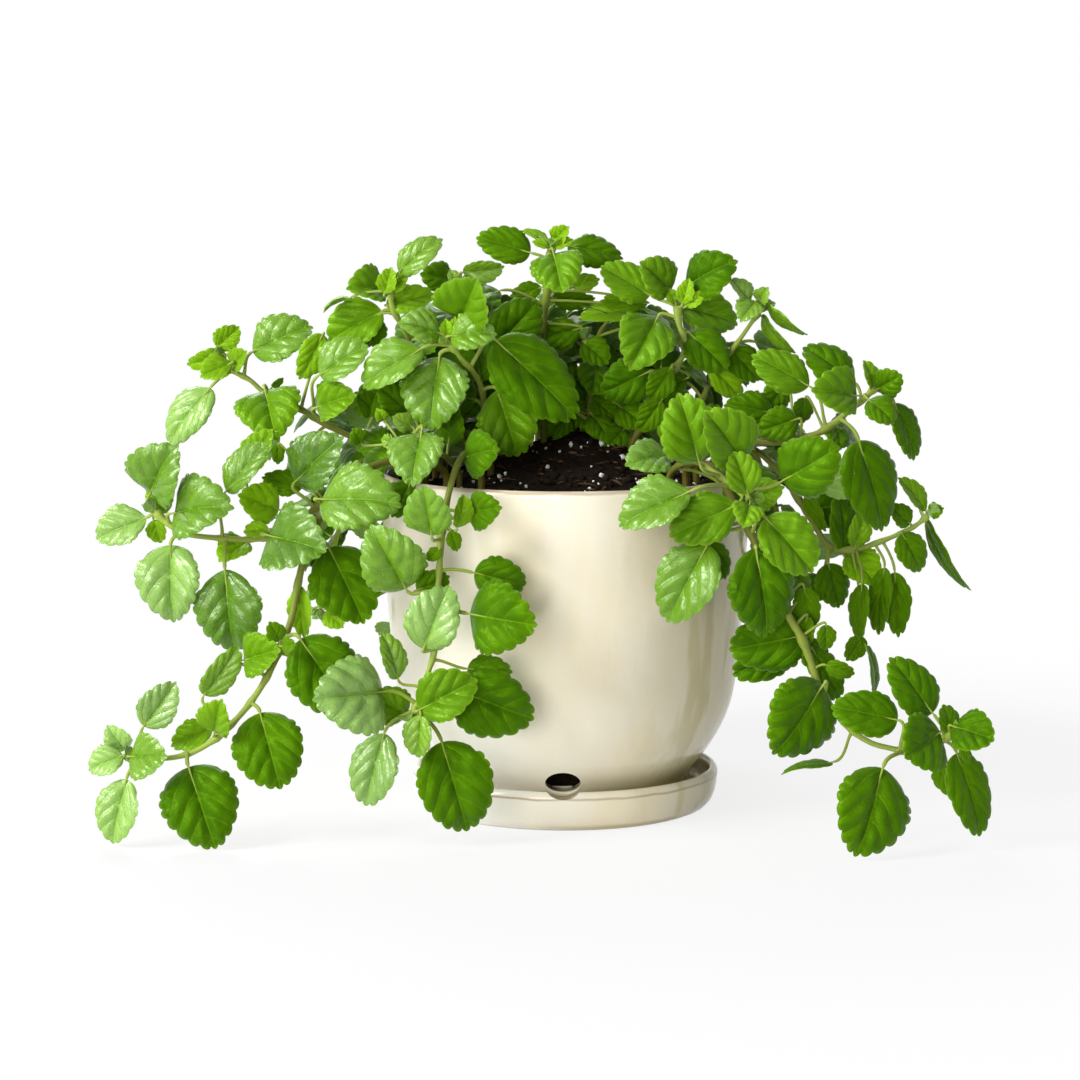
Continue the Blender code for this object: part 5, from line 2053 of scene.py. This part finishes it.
    yield stem("top_centre_branch", 1.6, "dmdmfdmddmmdmddd", (
        (-10, 4, 144), (-10, 4, 170), (-12, 4, 190), (-11, 2, 208), (-10, -2, 222),
        (-9, -5, 232), (-8, -8, 243), (-7, -10, 255),
    ), (
        leaf((-16, -10, 251), (-40, 258), 17, move=(0, 3)),
        leaf((-3, -16, 254), (1, 235), 24, move=(-3, 1.5)),
        leaf((3, -10, 254), (28, 249), 16, move=(-2, 5)), leaf((-7, -8, 258), (-20, 264), 8, 40),
        leaf((-6, -8, 259), (1, 265), 9), leaf((8, 0, 221), (-12, 216), 15, move=(-2, -2)),
        leaf((3, -2, 238), (15, 242), 9), leaf((-6, -2, 233), (13, 232), 12, 50),
        leaf((-31, -20, 212), (-13, 232), 23),
    ), (
        leaf((-7, -12, 257), (-15, 259), 5), leaf((-6, -12, 257), (3, 260), 6),
        leaf((37, -8, 231), (16, 232), 9), leaf((34, -4, 228), (6, 225), 11),
        leaf((-11, -4, 238), (-25, 234), 9), leaf((-14, 6, 184), (-3, 171), 15),
        leaf((-12, 4, 196), (-24, 184), 15),
    ))
    yield stem("top_right_rosette", 1.6, "mmdfmmdddfffddd", (
        (30, -8, 144), (30, -8, 166), (36, -10, 178), (38, -12, 188), (43, -13, 196),
        (50, -14, 203), (54, -14, 212), (51, -16, 222), (50, -18, 231),
    ), (
        leaf((38, -14, 231), (16, 244), 18, move=(0, 4)), leaf((48, -18, 236), (34, 248), 19, move=(0, 1)),
        leaf((57, -18, 237), (76, 247), 21, move=(-4, 2), grow=1.12, twist=-18),
        leaf((51, -22, 232), (58, 240), 10), leaf((43, -26, 225), (31, 202), 27, move=(-1.5, 2)),
        leaf((53, -24, 229), (75, 223), 18, move=(0, 3), grow=1.15),
        leaf((54, -14, 218), (69, 203), 19, move=(2, 0), grow=1.12),
        leaf((39, -22, 201), (18, 191), 21, move=(-2, 0)), leaf((55, -8, 197), (45, 193), 10, grow=1.3),
    ), (
        leaf((49, -20, 232), (46, 238), 6), leaf((52, -26, 232), (55, 243), 8),
        leaf((54, -26, 231), (62, 237), 7), leaf((47, -22, 203), (38, 188), 13),
        leaf((43, -20, 188), (33, 174), 13), leaf((42, -20, 180), (52, 168), 11),
    ))
    yield stem("upper_right_cluster", 1.4, "lllldyl", (
        (52, 12, 144), (52, 12, 164), (60, 6, 180), (67, 0, 197), (74, -8, 208),
        (80, -12, 217), (87, -16, 228),
    ), (
        leaf((89, -18, 231), (108, 216), 15, 40, move=(0, 1), twist=48),
        leaf((88, -14, 226), (103, 209), 14, 40, twist=46),
        leaf((86, -20, 232), (77, 243), 11, 40, move=(-3, 0)),
        leaf((87, -22, 231), (80, 222), 13, move=(-2, 2)), leaf((75, -4, 210), (88, 196), 16),
        leaf((66, -2, 202), (80, 188), 14),
    ), (
        leaf((86, -18, 232), (90, 238), 8),
    ))
    yield stem("right_branch", 1.6, "mmdmddddddddd", (
        (60, -18, 144), (60, -18, 160), (76, -20, 168), (92, -21, 169), (110, -22, 172),
        (121, -22, 178), (128, -22, 184), (134, -22, 189), (139, -22, 194),
    ), (
        leaf((109, -26, 191), (84, 205), 19, move=(0, 4)),
        leaf((130, -30, 189), (111, 191), 20, move=(1, 2), grow=1.1),
        leaf((126, -18, 197), (106, 212), 18, move=(4, -1), grow=1.1),
        leaf((139, -22, 193), (134, 206), 10, 45, twist=-20), leaf((139, -24, 193), (149, 199), 14),
        leaf((134, -30, 189), (145, 179), 14), leaf((148, -22, 187), (158, 162), 17, -35, twist=20),
        leaf((131, -34, 171), (143, 131), 28), leaf((121, -16, 177), (124, 166), 13),
        leaf((109, -14, 189), (106, 177), 11), leaf((100, -6, 194), (90, 182), 14),
        leaf((104, -8, 178), (86, 172), 16),
    ), (
        leaf((94, -16, 182), (72, 186), 17),
    ))
    yield stem("far_right_trailer", 1.5, "dmydddddddmdddd", (
        (68, -2, 144), (68, -2, 160), (84, -4, 165), (99, -8, 152), (111, -12, 134),
        (120, -15, 121), (130, -18, 120), (140, -20, 123), (150, -20, 127), (158, -20, 131),
        (164, -20, 136),
    ), (
        leaf((124, -16, 117), (121, 147), 16, move=(3, 0)),
        leaf((128, -10, 117), (132, 135), 11, move=(3, 3)),
        leaf((128, -14, 118), (139, 106), 16, grow=1.15), leaf((119, -22, 114), (124, 94), 18),
        leaf((116, -20, 108), (109, 97), 14), leaf((133, -16, 104), (131, 79), 12, 40, twist=32),
        leaf((144, -20, 112), (141, 82), 13, 20, twist=42), leaf((149, -22, 110), (151, 81), 14, 20),
        leaf((152, -24, 128), (161, 111), 15), leaf((156, -20, 132), (147, 140), 11),
        leaf((163, -20, 138), (151, 153), 11, 20), leaf((165, -18, 134), (184, 100), 15, 50, twist=56),
    ), (
        leaf((164, -20, 137), (170, 139), 7), leaf((109, -14, 145), (118, 128), 8, 50),
        leaf((134, -30, 82), (127, 71), 10),
    ))
    yield stem("centre_shoot", 1.4, "ddddmddddddd", (
        (12, 8, 144), (12, 8, 170), (11, 6, 190), (10, 4, 206), (9, 3, 214),
    ), (
        leaf((8, 2, 213), (19, 203), 14), leaf((14, 4, 204), (12, 188), 18),
        leaf((12, 6, 187), (24, 177), 13), leaf((8, 0, 182), (-7, 169), 16),
        leaf((28, -2, 223), (6, 231), 15, 60),
    ), (
        leaf((2, 10, 179), (-8, 167), 15), leaf((12, 2, 180), (20, 168), 14),
        leaf((24, 6, 184), (36, 174), 15), leaf((28, 4, 174), (18, 163), 16),
        leaf((40, 8, 182), (46, 171), 13), leaf((-2, 6, 194), (8, 182), 14),
        leaf((4, 4, 205), (-4, 194), 13),
    ))
    yield stem("top_back_shoot", 1.4, "ld", (
        (-26, 10, 144), (-26, 10, 170), (-32, 2, 195), (-40, -12, 215), (-46, -22, 230),
        (-48, -27, 240),
    ), (
        leaf((-46, -30, 246), (-28, 248), 12, 50), leaf((-50, -30, 244), (-64, 246), 15),
    ))


@dataclass
class RuledStem:
    """A stem along a quadratic arc, with leaf pairs that turn at each node.

    Radii, heights and the turn aside are in millimetres, the direction in degrees.
    """

    soil: Soil
    seed: int
    name: str
    root_radius: float
    direction: float
    middle: Row
    end: Row
    turn: float
    largest: float
    root_depth: float = 15.0 * MM
    steps: int = 7
    nodes: int = 5
    first_node: float = 0.3
    waver: Row = (3.2, 9.0)
    trailing_end: float = 150.0
    trailing_pairs: Row = (0.56, 0.68, 0.78, 0.87, 0.94, 1.0)
    upright_pairs: Row = (0.72, 0.90, 1.0)
    least_height: float = 3.0 * MM

    def __post_init__(self) -> None:
        """Works out the stem's own directions."""
        heading = math.radians(self.direction)
        self.outward = Vector((math.cos(heading), math.sin(heading), 0.0))
        self.aside = Vector((-self.outward.y, self.outward.x, 0.0))

    def place(self, share: float) -> Vector:
        """Works out a point of the centre line.

        Args:
            share: How far along the arc it is, from 0 to 1.

        Returns:
            The point, in metres.
        """
        start = Vector((self.root_radius, self.soil.height(self.root_radius * MM) / MM + 8.0))
        middle, end = Vector(self.middle), Vector(self.end)
        arc = start * (1 - share) ** 2 + middle * 2 * share * (1 - share) + end * share**2
        wide, waves = self.waver
        side = self.turn * share * share + wide * share * math.sin(waves * share + self.seed)
        return (self.outward * arc.x + self.aside * side) * MM + Vector((0.0, 0.0, arc.y * MM))

    def blade(self, here: Vector, spread: Vector, width: float, form: Row) -> Blade:
        """Hangs a leaf at a node.

        Args:
            here: The node.
            spread: The way that the leaf leaves it.
            width: The leaf's width.
            form: How far the leaf stands off, by its width, how far it falls and
                how far it faces up.

        Returns:
            The leaf.
        """
        off, drop, lift = form
        fall = (spread + Vector((0.0, 0.0, -drop))).normalized()
        face = Vector((0.0, 0.0, lift)) + self.outward * 0.9
        return hung(here + spread * (off * width), fall, width, face)

    def leaves(self, chance: random.Random) -> list[Blade]:
        """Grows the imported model's leaves, in pairs and single by turns.

        Args:
            chance: The source of their spread and shades.

        Returns:
            The leaves.
        """
        found = []
        for node in range(self.nodes):
            step = node / (self.nodes - 1)
            share = self.first_node + (1.0 - self.first_node) * step
            here = self.place(share)
            along = (here - self.place(share - 0.08)).normalized()
            across = along.cross(Vector((0.0, 0.0, 1.0))).normalized()
            if node % 2:
                across = (across * 0.35 + self.outward * 0.8 + Vector((0.0, 0.0, 0.25))).normalized()
            for side in (1.0,) if node % 2 else (-1.0, 1.0):
                wander = Vector([chance.uniform(-0.25, 0.25) for _ in range(3)])
                width = self.largest * MM * (1.0 - 0.38 * step) * chance.uniform(0.88, 1.08)
                spread = across * side + along * 0.45 + wander + Vector((0.0, 0.0, 0.1))
                found.append(self.blade(here, spread.normalized(), width, (0.36, 0.45, 1.0)))
                # A random shade; its dark and light letters bring painted shade and painted light.
                found[-1].shade = Shade(chance.choice("dmml"))
        return found

    def hanging(self, chance: random.Random) -> list[Blade]:
        """Grows the pairs that only the dressed plant has, down to the stem's end.

        Args:
            chance: The source of their spread and shades.

        Returns:
            The leaves.
        """
        found = []
        shares = self.trailing_pairs if self.end[1] < self.trailing_end else self.upright_pairs
        for node, share in enumerate(shares):
            here = self.place(share)
            bearing = math.radians(90.0 * node + chance.uniform(-20.0, 20.0))
            across = self.aside * math.cos(bearing) + self.outward * math.sin(bearing)
            taper = 0.84 - 0.40 * node / (len(shares) - 1)
            for side in (-1.0, 1.0):
                width = self.largest * MM * taper * chance.uniform(0.85, 1.1)
                spread = across * side + self.outward * 0.25 + Vector((0.0, 0.0, chance.uniform(-0.2, 0.3)))
                leaf_here = self.blade(here, spread.normalized(), width, (0.34, 0.7, 0.8))
                if leaf_here.tip.z >= self.least_height:
                    # A random shade; its dark, fresh and light letters vary the tone and bring painted shade
                    # and painted light.
                    leaf_here.shade, leaf_here.plain = Shade(chance.choice("dmmfl")), True
                    found.append(leaf_here)
        return found

    def grow(self) -> Stem:
        """Grows the stem with its leaves.

        Returns:
            The stem.
        """
        chance = random.Random(self.seed)
        root = self.place(0.0) - Vector((0.0, 0.0, self.root_depth))
        route = [root] + [self.place(step / self.steps) for step in range(self.steps + 1)]
        return Stem(self.name, 1.5 * MM, route, self.leaves(chance), self.hanging(chance))


def back_stems(soil: Soil) -> list[Stem]:
    """Returns the stems at the back and among the others, which follow one rule.

    Each row: name, the root's radius and direction, the arc's middle and end as
    (radius, height), how far it turns aside, and the largest leaf.

    Args:
        soil: The soil that they grow from.

    Returns:
        The stems.
    """
    rows = (
        ("back_trailer_1", 62, 58, (112, 232), (132, 62), 8, 28),
        ("back_trailer_2", 66, 77, (110, 226), (126, 28), -6, 30),
        ("back_trailer_3", 60, 95, (114, 236), (134, 48), 5, 30),
        ("back_trailer_4", 66, 112, (110, 228), (128, 24), -5, 30),
        ("back_trailer_5", 62, 130, (112, 230), (130, 66), -6, 28),
        ("back_shoot_1", 40, 34, (60, 218), (94, 192), 6, 27),
        ("back_shoot_2", 30, 72, (44, 246), (80, 210), -8, 29),
        ("back_shoot_3", 30, 110, (42, 248), (78, 214), 8, 29),
        ("back_shoot_4", 40, 148, (60, 218), (94, 192), -6, 27),
        ("right_back_trailer", 62, 22, (100, 196), (116, 96), 6, 24),
        ("left_back_trailer", 62, 158, (104, 200), (122, 84), 6, 26),
    )
    return [RuledStem(soil, number, *row).grow() for number, row in enumerate(rows)]


# ------------------------------------------------ the studio


@dataclass
class Studio:
    """A white floor and surroundings, soft lamps and the camera."""

    eye: Colour = (-0.0117, -1.5, 0.318)
    aim: Colour = (-0.0117, 0.0, 0.122)
    lens: float = 109.85
    sensor: float = 36.0
    floor_half: float = 6.0
    floor_tone: Colour = (0.86, 0.86, 0.86)
    shadow: Row = (0.22, 0.55, 0.82, 1.0)
    fill: float = 0.16
    lamps: tuple[tuple[str, Colour, float, float], ...] = (
        ("key_lamp", (-1.80, -1.20, 1.45), 1.2, 68.0),
        ("front_lamp", (-0.8, -2.2, 0.24), 1.5, 42.0),
        ("back_lamp", (-0.5, 1.6, 1.7), 1.2, 24.0),
    )

    def world(self) -> None:
        """Lights the surroundings plainly and shows them white."""
        made = bpy.data.worlds.new("studio")
        made.use_nodes = True
        bpy.context.scene.world = made
        made.node_tree.nodes.clear()
        graph = Graph(made.node_tree)
        seen = graph.add("LightPath", {})
        direct = graph.math("MAXIMUM", seen["Is Camera Ray"], seen["Is Glossy Ray"])
        direct = graph.math("MAXIMUM", direct, seen["Is Transmission Ray"])
        strength = graph.plus(graph.times(direct, 1.0 - self.fill), self.fill)
        light = graph.add("Background", {"Color": WHITE, "Strength": strength})[0]
        graph.add("OutputWorld", {"Surface": light})

    def floor_finish(self) -> Material:
        """Makes the floor's white finish, which keeps a light shadow around the pot.

        Returns:
            The finish.
        """
        made = bpy.data.materials.new("studio_floor")
        made.use_nodes = True
        made.node_tree.nodes.clear()
        graph = Graph(made.node_tree)
        seen = graph.add("LightPath", {})
        direct = graph.math("MAXIMUM", seen["Is Camera Ray"], seen["Is Glossy Ray"])
        matt = graph.add("BsdfDiffuse", {"Color": self.floor_tone})[0]
        glow = graph.add("Emission", {"Color": WHITE})[0]
        across, deep, _ = graph.parts(graph.place())
        share = graph.fade(graph.reach(across, deep), *self.shadow)
        both = graph.add("MixShader", {0: graph.times(direct, share), 1: matt, 2: glow})[0]
        graph.add("OutputMaterial", {"Surface": both})
        return made

    def floor(self) -> None:
        """Lays the floor."""
        bm = bmesh.new()
        bmesh.ops.create_grid(bm, x_segments=2, y_segments=2, size=self.floor_half)
        mesh = finished(bm, "studio_floor")
        mesh.materials.append(self.floor_finish())
        link("studio_floor", mesh)

    def aimed(self, name: str, data: Any, place: Colour) -> bpy.types.Object:
        """Puts a lamp or a camera in its place, turned to the middle of the plant.

        Args:
            name: The object's name.
            data: The lamp or the camera.
            place: Where it stands.

        Returns:
            The object.
        """
        made = link(name, data)
        made.location = place
        made.rotation_euler = (Vector(self.aim) - Vector(place)).to_track_quat("-Z", "Y").to_euler()
        return made

    def light(self) -> None:
        """Hangs the soft lamps."""
        for name, place, size, power in self.lamps:
            lamp = bpy.data.lights.new(name, "AREA")
            lamp.shape = "DISK"
            lamp.size = size
            lamp.energy = power
            self.aimed(name, lamp, place)

    def camera(self) -> None:
        """Sets up the camera."""
        lens = bpy.data.cameras.new("front_camera")
        lens.lens = self.lens
        lens.sensor_width = self.sensor
        bpy.context.scene.camera = self.aimed("front_camera", lens, self.eye)

    def build(self) -> None:
        """Builds the studio."""
        bpy.context.scene.view_settings.view_transform = "Standard"
        self.world()
        self.floor()
        self.light()
        self.camera()


def main() -> None:
    """Builds the studio, the pot, the soil and the plant."""
    logging.basicConfig(level=logging.INFO, format="%(name)s %(message)s")
    Studio().build()
    mottle = mottle_group()
    pot = Pot()
    pot.build(GlazeFinish().make(mottle))
    soil = Soil(pot)
    soil.build(mottle)
    Foliage(soil).build(mottle)
    bpy.context.view_layer.update()


if __name__ == "__main__":
    main()
